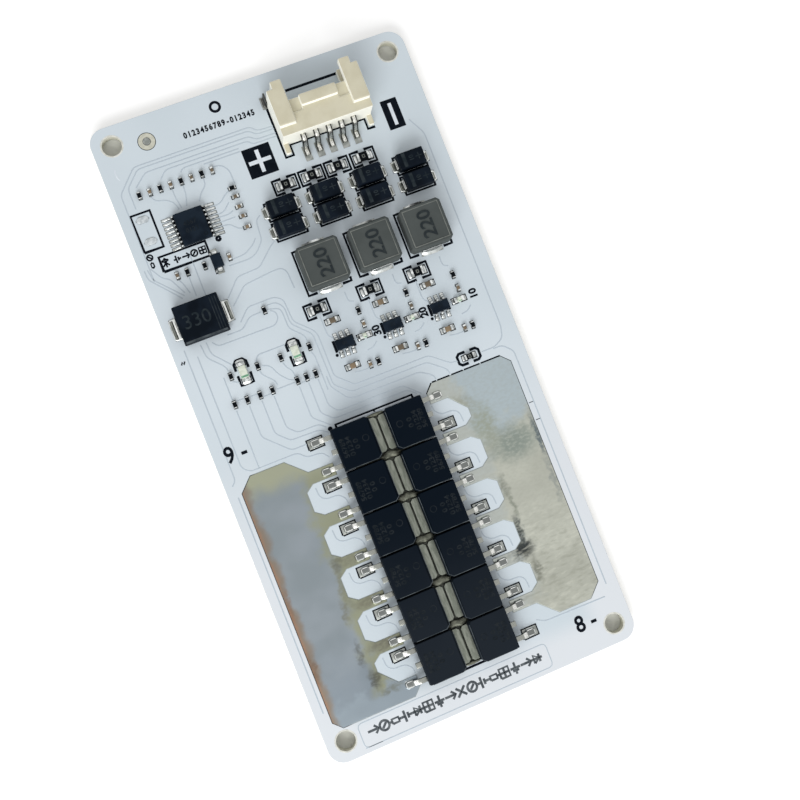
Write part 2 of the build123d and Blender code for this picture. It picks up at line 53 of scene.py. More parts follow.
# A node's plan box in millimetres: (x0, y0, x1, y1, z0, z1)
def planBox(node):
    low, high = [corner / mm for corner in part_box(node)]
    return (low.x, low.y, high.x, high.y, low.z, high.z)


def middleOf(box):
    return (box[0] + box[2]) / 2, (box[1] + box[3]) / 2


def nearest(place, boxes):
    return min(boxes, key=lambda box: math.dist(place, middleOf(box)))


# Colours are written as they look on a screen, from 0 to 255
def tone(red, green, blue):
    def linear(value):
        value /= 255
        return value / 12.92 if value <= 0.04045 else ((value + 0.055) / 1.055) ** 2.4
    return (linear(red), linear(green), linear(blue), 1.0)


# Small helpers for the node trees
def newFinish(name, color, roughness, metallic=0.0, shine=None):
    material = bpy.data.materials.new(name)
    material.use_nodes = True
    tree = material.node_tree
    shader = tree.nodes["Principled BSDF"]
    shader.inputs["Base Color"].default_value = color
    shader.inputs["Roughness"].default_value = roughness
    shader.inputs["Metallic"].default_value = metallic
    if shine is not None:
        shader.inputs["Specular IOR Level"].default_value = shine
    return material, tree, shader


def addNode(tree, kind, **settings):
    node = tree.nodes.new(kind)
    for key, value in settings.items():
        setattr(node, key, value)
    return node


def objectCoords(tree):
    return addNode(tree, "ShaderNodeTexCoord").outputs["Object"]


def addNoise(tree, size, detail=2.0, stretch=(1, 1, 1)):
    # size is the width of one lump in millimetres
    mapping = addNode(tree, "ShaderNodeMapping")
    mapping.inputs["Scale"].default_value = stretch
    noise = addNode(tree, "ShaderNodeTexNoise")
    noise.inputs["Scale"].default_value = 1 / (size * mm)
    noise.inputs["Detail"].default_value = detail
    tree.links.new(objectCoords(tree), mapping.inputs["Vector"])
    tree.links.new(mapping.outputs["Vector"], noise.inputs["Vector"])
    return noise.outputs["Fac"]


def remap(tree, value, low, high, newLow=0.0, newHigh=1.0):
    node = addNode(tree, "ShaderNodeMapRange", interpolation_type="SMOOTHSTEP")
    tree.links.new(value, node.inputs["Value"])
    for key, number in (("From Min", low), ("From Max", high), ("To Min", newLow), ("To Max", newHigh)):
        node.inputs[key].default_value = number
    return node.outputs["Result"]


def compute(tree, operation, first, second):
    node = addNode(tree, "ShaderNodeMath", operation=operation)
    for place, value in enumerate((first, second)):
        if isinstance(value, (int, float)):
            node.inputs[place].default_value = value
        else:
            tree.links.new(value, node.inputs[place])
    return node.outputs["Value"]


def blendColor(tree, factor, first, second):
    node = addNode(tree, "ShaderNodeMix", data_type="RGBA")
    tree.links.new(factor, node.inputs["Factor"])
    for key, value in (("A", first), ("B", second)):
        socket = [s for s in node.inputs if s.name == key and s.type == "RGBA"][0]
        if isinstance(value, tuple):
            socket.default_value = value
        else:
            tree.links.new(value, socket)
    return [s for s in node.outputs if s.type == "RGBA"][0]


def splitVector(tree, vector):
    node = addNode(tree, "ShaderNodeSeparateXYZ")
    tree.links.new(vector, node.inputs["Vector"])
    return node.outputs["X"], node.outputs["Y"], node.outputs["Z"]


def addSpot(tree, coords, x, y, reach, stretch=(1, 1)):
    # 1 at the spot's middle and 0 past its reach
    mapping = addNode(tree, "ShaderNodeMapping", vector_type="TEXTURE")
    mapping.inputs["Location"].default_value = (x * mm, y * mm, padTop * mm)
    mapping.inputs["Scale"].default_value = (reach * stretch[0] * mm, reach * stretch[1] * mm, reach * mm)
    length = addNode(tree, "ShaderNodeVectorMath", operation="LENGTH")
    tree.links.new(coords, mapping.inputs["Vector"])
    tree.links.new(mapping.outputs["Vector"], length.inputs[0])
    return remap(tree, length.outputs["Value"], 1.0, 0.2)


def addBump(tree, shader, height, depth):
    # depth is the bump's height in millimetres
    bump = addNode(tree, "ShaderNodeBump")
    bump.inputs["Strength"].default_value = 1.0
    bump.inputs["Distance"].default_value = depth * mm
    tree.links.new(height, bump.inputs["Height"])
    tree.links.new(bump.outputs["Normal"], shader.inputs["Normal"])


def paint(tree, shader, color, roughness=None):
    tree.links.new(color, shader.inputs["Base Color"])
    if roughness is not None:
        tree.links.new(roughness, shader.inputs["Roughness"])


# One grain drives the roughness and a small bump
def coat(tree, shader, color, grain, roughness, depth):
    paint(tree, shader, color, remap(tree, grain, 0.3, 0.7, *roughness))
    addBump(tree, shader, grain, depth)


def steepness(tree, start=0.95, end=0.15):
    # 0 on faces that look up, 1 on upright walls
    geometry = addNode(tree, "ShaderNodeNewGeometry")
    up = splitVector(tree, geometry.outputs["Normal"])[2]
    return remap(tree, up, start, end)


# Mottled finish used for most solids
def mottledFinish(name, light, dark, size, roughness, grain, depth, spread=0.12, shine=0.5):
    light, dark = tone(*light), tone(*dark)
    material, tree, shader = newFinish(name, light, roughness[0], 0.0, shine)
    cloud = addNoise(tree, size)
    fine = addNoise(tree, grain, 3.0)
    color = blendColor(tree, remap(tree, cloud, 0.5 - spread, 0.5 + spread), dark, light)
    coat(tree, shader, color, fine, roughness, depth)
    return material


def metalFinish(name, light, dark, side, size, roughness, grain, depth, stretch=(1, 1, 1)):
    light, dark, side = tone(*light), tone(*dark), tone(*side)
    material, tree, shader = newFinish(name, light, roughness[0], 1.0)
    cloud = addNoise(tree, size, 3.0, stretch)
    fine = addNoise(tree, grain, 3.0, stretch)
    color = blendColor(tree, remap(tree, cloud, 0.38, 0.62), dark, light)
    # upright walls take the side tone: painted shade
    color = blendColor(tree, steepness(tree), color, side)
    coat(tree, shader, color, fine, roughness, depth)
    return material


# Light and dark tone, width of a lump, roughness, width of a grain, bump, then spread and shine
compounds = {
    "maskOverTrack": ((186, 198, 207), (180, 192, 202), 9.0, (0.36, 0.44), 0.35, 0.003, 0.3),
    "bareLaminate": ((207, 206, 191), (193, 193, 178), 0.5, (0.5, 0.65), 0.1, 0.01),
    # painted light on the holes' lit rims
    "holeRimLight": ((222, 223, 216), (204, 205, 196), 0.6, (0.5, 0.65), 0.1, 0.006),
    # black print, also used for painted shade in gaps, under leads and round solder joints
    "blackPrintAndShade": ((9, 15, 23), (15, 21, 29), 1.2, (0.55, 0.7), 0.08, 0.004, 0.12, 0.04),
    # grey print, also used for painted shade between the chip leads
    "greyPrintAndShade": ((100, 106, 110), (74, 80, 85), 0.9, (0.55, 0.7), 0.08, 0.004, 0.12, 0.1),
    "whitePrint": ((224, 231, 238), (214, 222, 230), 1.5, (0.5, 0.65), 0.08, 0.004),
    "caseMark": ((38, 43, 47), (25, 31, 36), 0.8, (0.6, 0.75), 0.05, 0.003, 0.12, 0.04),
    "diodeMark": ((45, 52, 56), (31, 39, 44), 0.8, (0.6, 0.75), 0.05, 0.003, 0.12, 0.06),
    # painted highlight on the edges of the cases
    "rimHighlight": ((88, 95, 99), (54, 61, 66), 2.0, (0.4, 0.6), 0.05, 0.003, 0.12, 0.1),
    "diodeCase": ((18, 26, 36), (9, 16, 24), 3.0, (0.42, 0.58), 0.05, 0.005, 0.12, 0.05),
    "chipCase": ((26, 36, 47), (15, 24, 34), 2.5, (0.45, 0.6), 0.05, 0.004, 0.12, 0.06),
    "resistorGlaze": ((14, 18, 23), (7, 11, 15), 0.5, (0.35, 0.5), 0.05, 0.003, 0.12, 0.04),
    "pressedPowder": ((82, 87, 86), (74, 79, 78), 3.0, (0.62, 0.8), 0.06, 0.008, 0.3, 0.1),
    "pressedRim": ((124, 128, 123), (104, 108, 104), 1.0, (0.5, 0.7), 0.06, 0.004),
    "engravedPowder": ((52, 58, 60), (44, 50, 53), 0.8, (0.7, 0.85), 0.06, 0.004, 0.12, 0.05),
    "lampLens": ((224, 231, 216), (206, 214, 198), 0.5, (0.16, 0.28), 0.1, 0.003),
    "lampTint": ((120, 176, 142), (98, 150, 120), 0.4, (0.2, 0.3), 0.1, 0.003),
}
# Light and dark tone, the tone of upright walls as painted shade, then the same measures and a stretch
metals = {
    "tinPlate": ((214, 217, 216), (176, 180, 179), (112, 114, 113), 0.6, (0.22, 0.36), 0.25, 0.003),
    "solder": ((214, 217, 216), (176, 180, 178), (104, 107, 105), 1.4, (0.26, 0.36), 0.8, 0.002),
    # a lighter copy of the solder: painted highlight
    "highlightSolder": ((244, 245, 242), (218, 221, 218), (128, 131, 128), 1.2, (0.18, 0.28), 0.8, 0.002),
    "clipTin": ((92, 92, 88), (74, 74, 70), (58, 58, 56), 0.6, (0.35, 0.5), 0.2, 0.004),
    "apronSolder": ((138, 141, 134), (112, 115, 109), (84, 86, 82), 0.8, (0.35, 0.5), 0.4, 0.004),
    "chipEnd": ((232, 235, 234), (160, 164, 163), (92, 95, 92), 0.5, (0.22, 0.34), 0.2, 0.003),
    "tinnedLand": ((162, 165, 161), (136, 140, 136), (96, 98, 95), 0.8, (0.3, 0.45), 0.1, 0.008),
    "probeLand": ((202, 208, 211), (176, 183, 187), (96, 98, 95), 0.5, (0.3, 0.45), 0.2, 0.006),
    "dullSolder": ((120, 122, 110), (100, 102, 92), (74, 76, 69), 0.5, (0.48, 0.62), 0.2, 0.012),
    "heatTab": ((140, 144, 134), (120, 125, 115), (50, 53, 50), 0.3, (0.34, 0.5), 0.06, 0.006, (1, 0.2, 1)),
    # the drain pad shows only in the gaps between the transistors, so its tin is painted dark: painted shade
    "shadedDrainTin": ((74, 76, 70), (56, 58, 54), (40, 42, 40), 0.6, (0.4, 0.5), 0.1, 0.006),
}
finishes = {name: mottledFinish(name, *look) for name, look in compounds.items()}
finishes.update({name: metalFinish(name, *look) for name, look in metals.items()})

# Solder mask: bluish white with a slow drift of tone, with painted shade beside the connector and the array
maskLook = {
    "drift": (tone(205, 216, 223), tone(213, 223, 230)),
    "warmEdge": tone(222, 227, 232),
    "paintedShadeTone": tone(180, 191, 200),
    # x, y, reach, share
    "shadeSpots": ((7.0, 47.0, 17.0, 0.25), (0.0, -2.5, 9.0, 0.6), (4.0, 9.0, 16.0, 0.2)),
}


def maskMaterial():
    material, tree, shader = newFinish("solderMask", tone(208, 219, 226), 0.38, shine=0.35)
    x, y, z = splitVector(tree, objectCoords(tree))
    drift = remap(tree, addNoise(tree, 24.0), 0.3, 0.7)
    color = blendColor(tree, drift, *maskLook["drift"])
    # warmer along the sides and the far end, from the middle of the board on
    sides = compute(tree, "SUBTRACT", compute(tree, "ABSOLUTE", x, 0.0), 17 * mm)
    rim = compute(tree, "MAXIMUM", sides, compute(tree, "SUBTRACT", -43 * mm, y))
    warm = compute(tree, "MULTIPLY", remap(tree, rim, 0.0, 4 * mm), remap(tree, y, 5 * mm, -25 * mm))
    color = blendColor(tree, warm, color, maskLook["warmEdge"])
    # painted shade: darker spots where the connector and the array cast their shadows
    for x, y, reach, share in maskLook["shadeSpots"]:
        shadeShare = compute(tree, "MULTIPLY", addSpot(tree, objectCoords(tree), x, y, reach), share)
        color = blendColor(tree, shadeShare, color, maskLook["paintedShadeTone"])
    coat(tree, shader, color, addNoise(tree, 0.35, 3.0), (0.34, 0.42), 0.003)
    return material


# Hot-dipped pad: base tones, tinted zones and stains, then scraping with painted highlights on the ridges,
# and brushing along x
def padMaterial(name, look):
    base, high = [tone(*shade) for shade in look["base"]]
    material, tree, shader = newFinish(name, base, 0.3, 1.0)
    x, y, z = splitVector(tree, objectCoords(tree))
    streaks = addNoise(tree, 0.4, 5.0, (0.6, 1.0, 1.0))
    cloud = addNoise(tree, 5.0, 2.0, (0.8, 1.0, 1.0))
    color = blendColor(tree, remap(tree, cloud, 0.35, 0.65), base, high)
    wander = remap(tree, addNoise(tree, 3.0, 5.0), 0.25, 0.75, -1.0, 1.0)
    # stains are drawn in bent coordinates, so that their rims are uneven
    ripple = addNoise(tree, 0.9, 4.0)
    warp = addNode(tree, "ShaderNodeVectorMath", operation="MULTIPLY_ADD")
    tree.links.new(ripple, warp.inputs[0])
    warp.inputs[1].default_value = (2.2 * mm, 2.2 * mm, 0)
    warp.inputs[2].default_value = (-1.1 * mm, -1.1 * mm, 0)
    bent = addNode(tree, "ShaderNodeVectorMath", operation="ADD")
    tree.links.new(objectCoords(tree), bent.inputs[0])
    tree.links.new(warp.outputs["Vector"], bent.inputs[1])
    for axis, start, end, spread, tint in look["zones"]:
        place = compute(tree, "ADD", x if axis == "x" else y, compute(tree, "MULTIPLY", wander, spread * mm))
        color = blendColor(tree, remap(tree, place, start * mm, end * mm), color, tone(*tint))
    for spotX, spotY, reach, stretch, tint, share in look["stains"]:
        spot = addSpot(tree, bent.outputs["Vector"], spotX, spotY, reach, stretch)
        ragged = compute(tree, "MULTIPLY", spot, remap(tree, streaks, 0.3, 0.6, 0.55, 1.0))
        color = blendColor(tree, compute(tree, "MULTIPLY", ragged, share), color, tone(*tint))
    if "scraped" in look:
        grain = addNoise(tree, 0.5, 5.0, (0.3, 1.0, 1.0))
        where = remap(tree, y, look["scraped"][0] * mm, look["scraped"][1] * mm)
        # the pits are real scraping marks; the pale flecks on the ridges are painted highlights
        pits, ridgeHighlights = (0.52, 0.7, 0.28, tone(122, 123, 108)), (0.46, 0.34, 0.35, tone(206, 207, 194))
        for start, end, share, tint in (pits, ridgeHighlights):
            marks = compute(tree, "MULTIPLY", remap(tree, grain, start, end), where)
            color = blendColor(tree, compute(tree, "MULTIPLY", marks, share), color, tint)
    fleck = remap(tree, streaks, 0.35, 0.7, 0.0, look["brushed"])
    color = blendColor(tree, fleck, color, tone(150, 151, 140))
    coat(tree, shader, color, cloud, (0.3, 0.42), 0.006)
    return material


# Zones: axis, start and end, how far they wander, tint. Stains: x, y, reach, stretch, tint, share
scorched = (84, 84, 76)
loadPadLook = {
    "base": ((137, 146, 151), (141, 149, 155)),
    "zones": (
        ("y", -30.0, -44.0, 2.0, (131, 141, 149)),
        ("x", -15.9, -13.2, 1.2, (144, 147, 126)),
        ("y", -10.4, -7.0, 0.5, (160, 163, 142)),
        ("y", -41.0, -42.6, 1.2, (143, 154, 162)),
        ("x", -21.3, -22.6, 0.5, (136, 125, 113)),
        ("x", -22.4, -22.95, 0.3, (150, 122, 102)),
    ),
    "stains": (
        (-14.7, -40.3, 2.4, (0.6, 0.9), scorched, 0.8),
        (-13.0, -42.6, 2.2, (1.2, 0.4), (118, 122, 114), 0.8),
        (-13.9, -22.6, 2.0, (0.6, 0.9), scorched, 0.6),
        (-15.2, -29.5, 2.0, (0.4, 1.3), (118, 118, 104), 0.7),
        (-15.5, -36.0, 2.2, (0.4, 1.2), scorched, 0.6),
        (-11.5, -36.0, 2.4, (1.6, 0.6), (112, 111, 99), 0.9),
        (-11.5, -29.4, 2.4, (1.6, 0.6), (116, 115, 101), 0.8),
        (-11.5, -22.6, 2.2, (1.6, 0.6), (120, 120, 105), 0.6),
        (-14.2, -26.0, 3.4, (0.3, 1.6), (126, 127, 110), 0.7),
        (-22.6, -35.5, 2.6, (0.3, 1.4), (120, 100, 84), 0.7),
        (-22.6, -25.5, 2.6, (0.3, 1.4), (132, 104, 84), 0.6),
    ),
    "brushed": 0.0,
}
batteryPadLook = {
    "base": ((176, 178, 167), (184, 186, 175)),
    "zones": (
        ("y", -15.0, -10.5, 2.4, (170, 182, 187)),
        ("x", 14.2, 11.5, 1.6, (175, 180, 175)),
    ),
    "stains": (
        (17.8, -15.6, 5.0, (1.2, 0.8), (134, 144, 137), 1.0),
        (14.6, -11.6, 3.6, (0.8, 1.4), (150, 156, 143), 0.9),
        (12.0, -7.5, 3.0, (1.2, 0.7), (148, 151, 138), 0.7),
        (21.8, -15.8, 3.6, (0.2, 1.4), (96, 108, 114), 1.0),
        (21.5, -23.0, 3.0, (0.22, 1.8), (138, 144, 142), 0.7),
        (13.0, -31.2, 3.0, (0.9, 0.7), (26, 34, 41), 1.0),
        (13.3, -30.8, 2.0, (0.8, 0.9), (26, 34, 41), 1.0),
        (13.6, -28.2, 3.0, (0.35, 1.1), (56, 64, 66), 1.0),
        (14.3, -24.6, 2.6, (0.25, 1.2), (120, 126, 114), 0.8),
        (14.1, -34.8, 2.2, (0.4, 1.3), (112, 114, 104), 0.8),
        (13.9, -21.5, 2.4, (0.4, 1.2), (120, 124, 114), 0.7),
        (17.0, -26.0, 6.0, (0.6, 1.0), (180, 182, 171), 0.7),
    ),
    "brushed": 0.18,
    # the ridges' pale flecks are painted highlights
    "scraped": (-22.0, -32.0),  # pits and ridges grow from the first y to the second
}


# Board edge: pressed glass cloth in thin layers
def laminateMaterial():
    material, tree, shader = newFinish("boardEdge", tone(204, 202, 188), 0.65)
    layers = addNoise(tree, 0.28, 3.0, (0.12, 0.12, 1.6))
    weave = addNoise(tree, 0.2, 2.0)
    color = blendColor(tree, remap(tree, layers, 0.38, 0.62), tone(190, 189, 172), tone(210, 209, 196))
    paint(tree, shader, color, remap(tree, weave, 0.3, 0.7, 0.55, 0.75))
    addBump(tree, shader, layers, 0.01)
    return material


# Rim of the large pads: painted shade of the raised edge, dark along the board's sides, pale round the
# fingers
padRimShade = {
    "width": 0.11,
    "rise": 0.012,
    "dark": tone(52, 58, 60),
    "pale": tone(166, 174, 174),
    "change": (19.8, 21.0),  # distance from the middle line, pale before and dark past it
}


def padRimShadeMaterial():
    material, tree, shader = newFinish("padRimShade", padRimShade["dark"], 0.75, shine=0.05)
    x, y, z = splitVector(tree, objectCoords(tree))
    inner, outer = padRimShade["change"]
    sides = remap(tree, compute(tree, "ABSOLUTE", x, 0.0), inner * mm, outer * mm)
    paint(tree, shader, blendColor(tree, sides, padRimShade["pale"], padRimShade["dark"]))
    return material


# Transistor compound: near black by the small parts, with a painted sheen that makes it greyer towards the
# far end
def caseMaterial():
    material, tree, shader = newFinish("transistorCase", tone(20, 27, 36), 0.58, shine=0.02)
    x, y, z = splitVector(tree, objectCoords(tree))
    cloud = addNoise(tree, 7.0)
    wander = compute(tree, "ADD", y, compute(tree, "MULTIPLY", cloud, 8 * mm))
    # painted sheen: greyer towards the far end
    color = blendColor(tree, remap(tree, wander, -12 * mm, -40 * mm), tone(12, 20, 29), tone(33, 39, 46))
    coat(tree, shader, color, addNoise(tree, 0.05, 3.0), (0.5, 0.66), 0.005)
    return material


# Nylon: creamy on the moulded tops; painted light makes the upright walls nearly white
def nylonMaterial():
    material, tree, shader = newFinish("ivoryNylon", tone(206, 201, 177), 0.5, shine=0.3)
    cloud = addNoise(tree, 2.5, 4.0)
    color = blendColor(tree, remap(tree, cloud, 0.3, 0.7), tone(203, 197, 172), tone(213, 208, 185))
    # painted light: the upright walls are nearly white
    color = blendColor(tree, steepness(tree, 0.9, 0.4), color, tone(255, 254, 242))
    coat(tree, shader, color, addNoise(tree, 0.1, 3.0), (0.45, 0.58), 0.004)
    return material


# Fired capacitors: each takes its own brown from where it stands
def ceramicMaterial():
    material, tree, shader = newFinish("firedCeramic", tone(150, 130, 104), 0.35)
    batch = remap(tree, addNoise(tree, 4.5, 1.0), 0.35, 0.65)
    color = blendColor(tree, batch, tone(96, 84, 66), tone(136, 116, 90))
    shade = remap(tree, addNoise(tree, 0.25, 2.0), 0.3, 0.7, 0.0, 0.35)
    paint(tree, shader, blendColor(tree, shade, color, tone(92, 84, 70)))
    return material


# Transistor leads: dull where they leave the case, bright down the slope, dark on the soldered foot, with
# painted shade on upright faces
def leadMaterial():
    material, tree, shader = newFinish("formedLead", tone(200, 201, 196), 0.28, 1.0)
    x, y, z = splitVector(tree, objectCoords(tree))
    fine = addNoise(tree, 0.12, 3.0)
    level = remap(tree, z, 2.6 * mm, 2.72 * mm)
    foot = remap(tree, z, 2.35 * mm, 2.2 * mm)
    color = blendColor(tree, remap(tree, fine, 0.35, 0.65), tone(190, 191, 186), tone(244, 244, 240))
    color = blendColor(tree, level, color, tone(150, 152, 146))
    color = blendColor(tree, foot, color, tone(118, 121, 119))
    # painted shade on upright faces
    color = blendColor(tree, steepness(tree, 0.45, 0.1), color, tone(70, 72, 70))
    coat(tree, shader, color, fine, (0.2, 0.34), 0.003)
    return material


# Connector contacts: painted shade on the sides of each contact, with a bright crown between
def contactMaterial():
    material, tree, shader = newFinish("formedContact", tone(196, 197, 190), 0.26, 1.0)
    x, y, z = splitVector(tree, objectCoords(tree))
    # counted from one contact; fifty pitches of 2 mm are added, so that the value stays above zero
    first = middleOf(solidBoxes("connector_pins")[0])[0]
    offset = compute(tree, "SUBTRACT", x, (first - 50 * 2) * mm)
    crownDistance = compute(tree, "PINGPONG", offset, 1 * mm)
    fine = addNoise(tree, 0.15, 3.0)
    color = blendColor(tree, remap(tree, fine, 0.35, 0.65), tone(170, 171, 164), tone(238, 238, 232))
    # painted shade on each contact's sides, away from its middle
    color = blendColor(tree, remap(tree, crownDistance, 0.18 * mm, 0.3 * mm), color, tone(58, 59, 55))
    coat(tree, shader, color, fine, (0.2, 0.34), 0.003)
    return material


pads = padMaterial("loadPadTin", loadPadLook), padMaterial("batteryPadTin", batteryPadLook)
moulded = caseMaterial(), nylonMaterial(), ceramicMaterial()
for material in (maskMaterial(), *pads, laminateMaterial(), padRimShadeMaterial(), *moulded, leadMaterial()):
    finishes[material.name] = material
print("materials made")


# A piece from a mesh, the names of its finishes and the nodes it stands for
def newPiece(name, mesh, looks, replaced=()):
    piece = bpy.data.objects.new(name, mesh)
    bpy.context.scene.collection.objects.link(piece)
    for look in looks:
        mesh.materials.append(finishes[look])
    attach(piece, "root")
    if replaced:
        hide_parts(*replaced)
    return piece


def meshFrom(form, name):
    mesh = bpy.data.meshes.new(name)
    form.to_mesh(mesh)
    form.free()
    for face in mesh.polygons:
        face.use_smooth = True
    mesh.set_sharp_from_angle(angle=math.radians(50))
    return mesh


def weigh(piece):
    modifier = piece.modifiers.new("weighted normals", "WEIGHTED_NORMAL")
    modifier.keep_sharp = True


# A CAD node's loose triangles, merged and brought back to whole faces
def mergedCopy(node):
    form = bmesh.new()
    form.from_mesh(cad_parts[node].data)
    bmesh.ops.remove_doubles(form, verts=form.verts, dist=0.0005 * mm)
    bmesh.ops.dissolve_limit(form, angle_limit=math.radians(0.5), verts=form.verts, edges=form.edges)
    return form


def bevelEdges(form, edges, width, segments, clamp=True):
    bmesh.ops.bevel(
        form, geom=edges, offset=width, offset_type="OFFSET", affect="EDGES", segments=segments,
        profile=0.5, material=-1, clamp_overlap=clamp,
    )


def roundEdges(form, width, segments, steep):
    sharp = [e for e in form.edges if len(e.link_faces) == 2 and e.calc_face_angle() > math.radians(steep)]
    bevelEdges(form, sharp, width * mm, segments)


def uprightEdges(edges, least):
    return [e for e in edges if abs(e.verts[0].co.z - e.verts[1].co.z) > least]


# A node's copy with its edges rounded where they are steeper than the last value, in degrees
def softPiece(node, name, width, look, segments, steep):
    form = mergedCopy(node)
    roundEdges(form, width, segments, steep)
    weigh(newPiece(name, meshFrom(form, name), [look], [node]))


def softTin(node, name, width=0.06, segments=2):
    softPiece(node, name, width, "tinPlate", segments, 40)


# The plan box of every separate solid of one node
def solidBoxes(node):
    form = mergedCopy(node)
    boxes = []
    seen = set()
    for start in form.verts:
        if start in seen:
            continue
        group, wave = [], [start]
        seen.add(start)
        while wave:
            vert = wave.pop()
            group.append(vert.co / mm)
            for edge in vert.link_edges:
                other = edge.other_vert(vert)
                if other not in seen:
                    seen.add(other)
                    wave.append(other)
        xs, ys, zs = [[point[axis] for point in group] for axis in range(3)]
        boxes.append((min(xs), min(ys), max(xs), max(ys), min(zs), max(zs)))
    form.free()
    return boxes


def addMesh(form, mesh):
    form.from_mesh(mesh)
    bpy.data.meshes.remove(mesh)


def addCurve(form, curve, matrix):
    holder = bpy.data.objects.new("curve", curve)
    mesh = bpy.data.meshes.new_from_object(holder)
    bpy.data.objects.remove(holder)
    bpy.data.curves.remove(curve)
    mesh.transform(matrix)
    addMesh(form, mesh)


# Thin rounded lines: print on the mask, and tracks that show through it
def addLines(form, routes, width, rise, base):
    curve = bpy.data.curves.new("lines", "CURVE")
    curve.dimensions = "3D"
    curve.bevel_depth = width / 2 * mm
    curve.bevel_resolution = 1
    curve.use_fill_caps = True
    for route in routes:
        spline = curve.splines.new("POLY")
        spline.points.add(len(route) - 1)
        for point, (x, y) in zip(spline.points, route):
            point.co = (x * mm, y * mm, 0, 1)
    flat = Matrix.Diagonal((1, 1, 2 * rise / width, 1))
    addCurve(form, curve, Matrix.Translation((0, 0, base * mm)) @ flat)


def addText(form, text, size, x, y, base, rise=0.02, turn=0.0, wide=1.0, weight=0.0):
    curve = bpy.data.curves.new("digits", "FONT")
    curve.body = text
    curve.size = size * mm
    curve.align_x = "CENTER"
    curve.align_y = "CENTER"
    curve.offset = weight * mm
    curve.extrude = rise / 2 * mm
    curve.resolution_u = 3
    place = Matrix.Translation((x * mm, y * mm, (base + rise / 2) * mm))
    turned = Matrix.Rotation(math.radians(turn), 4, "Z") @ Matrix.Diagonal((wide, 1, 1, 1))
    addCurve(form, curve, place @ turned)


# Corners of a route cut by short chords, so that tracks bend as they do on a board
def eased(route, reach=0.45):
    points = [Vector(p) for p in route]
    smooth = [points[0]]
    for before, corner, after in zip(points, points[1:], points[2:]):
        for other, turn in ((before, 1), (after, -1)):
            way = other - corner
            smooth.append(corner + way.normalized() * min(reach, way.length / 3))
        smooth.insert(-1, smooth[-2].lerp(smooth[-1], 0.5).lerp(corner, 0.4))
    return [tuple(p) for p in smooth + [points[-1]]]


def rectangle(x0, y0, x1, y1):
    return [(x0, y0), (x1, y0), (x1, y1), (x0, y1), (x0, y0)]


def ringRoute(x, y, radius, count=20):
    turns = [2 * math.pi * step / count for step in range(count + 1)]
    return [(x + radius * math.cos(a), y + radius * math.sin(a)) for a in turns]


def addSlab(form, x0, y0, x1, y1, z0, z1):
    size = Vector((x1 - x0, y1 - y0, z1 - z0)) * mm
    middle = Vector((x0 + x1, y0 + y1, z0 + z1)) * mm / 2
    matrix = Matrix.Translation(middle) @ Matrix.Diagonal((*size, 1))
    return bmesh.ops.create_cube(form, size=1.0, matrix=matrix)["verts"]


# Ink laid flat on the mask
def addInk(form, x0, y0, x1, y1, rise=0.014):
    addSlab(form, x0, y0, x1, y1, boardTop - 0.01, boardTop + rise)


def addDisc(form, x, y, radius, z0, z1, segments=24):
    middle = Matrix.Translation((x * mm, y * mm, (z0 + z1) / 2 * mm))
    bmesh.ops.create_cone(
        form, cap_ends=True, segments=segments, radius1=radius * mm, radius2=radius * mm,
        depth=(z1 - z0) * mm, matrix=middle,
    )


# One solder joint in unit size: a block with rounded plan corners, cut in levels
def jointUnit():
    form = bmesh.new()
    bmesh.ops.create_cube(form, size=2.0)
    bevelEdges(form, uprightEdges(form.edges, 1), 0.6, 3, False)
    for level in (-0.7, -0.3, 0.3):
        geometry = form.verts[:] + form.edges[:] + form.faces[:]
        bmesh.ops.bisect_plane(form, geom=geometry, plane_co=(0, 0, level), plane_no=(0, 0, 1))
    mesh = bpy.data.meshes.new("jointUnit")
    form.to_mesh(mesh)
    form.free()
    return mesh


unitJoint = jointUnit()


# Solder climbs on a hollow curve from the foot rectangle to the seat rectangle
def addJoint(form, foot, seat, base, top):
    count = len(form.verts)
    form.from_mesh(unitJoint)
    form.verts.ensure_lookup_table()
    for vert in form.verts[count:]:
        u, v, w = vert.co
        climb = (w + 1) / 2
        share = 1 - (1 - climb) ** 2
        x0, y0, x1, y1 = [f + (s - f) * share for f, s in zip(foot, seat)]
        wobble = 1 + 0.03 * math.sin(9 * u + 7 * v + 40 * x0)
        vert.co = Vector((
            (x0 + x1) / 2 + u * (x1 - x0) / 2 * wobble,
            (y0 + y1) / 2 + v * (y1 - y0) / 2 * wobble,
            base + climb * (top - base),
        )) * mm


def grow(box, reach):
    return (box[0] - reach, box[1] - reach, box[2] + reach, box[3] + reach)


def overlap(first, second):
    low = [max(a, b) for a, b in zip(first[:2], second[:2])]
    high = [min(a, b) for a, b in zip(first[2:4], second[2:4])]
    return (*low, *high) if low[0] < high[0] and low[1] < high[1] else None


def closePiece(form, name, look):
    newPiece(name, meshFrom(form, name), [look])


# Board: mask on both faces, bare laminate on the edge and in the holes
def makeBoard():
    form = mergedCopy("circuit_board")
    roundEdges(form, 0.08, 2, 60)
    for face in form.faces:
        face.material_index = 0 if abs(face.normal.z) > 0.5 else 1
    mesh = meshFrom(form, "masked_board")
    weigh(newPiece("masked_board", mesh, ["solderMask", "boardEdge"], ["circuit_board"]))


makeBoard()
print("board made")

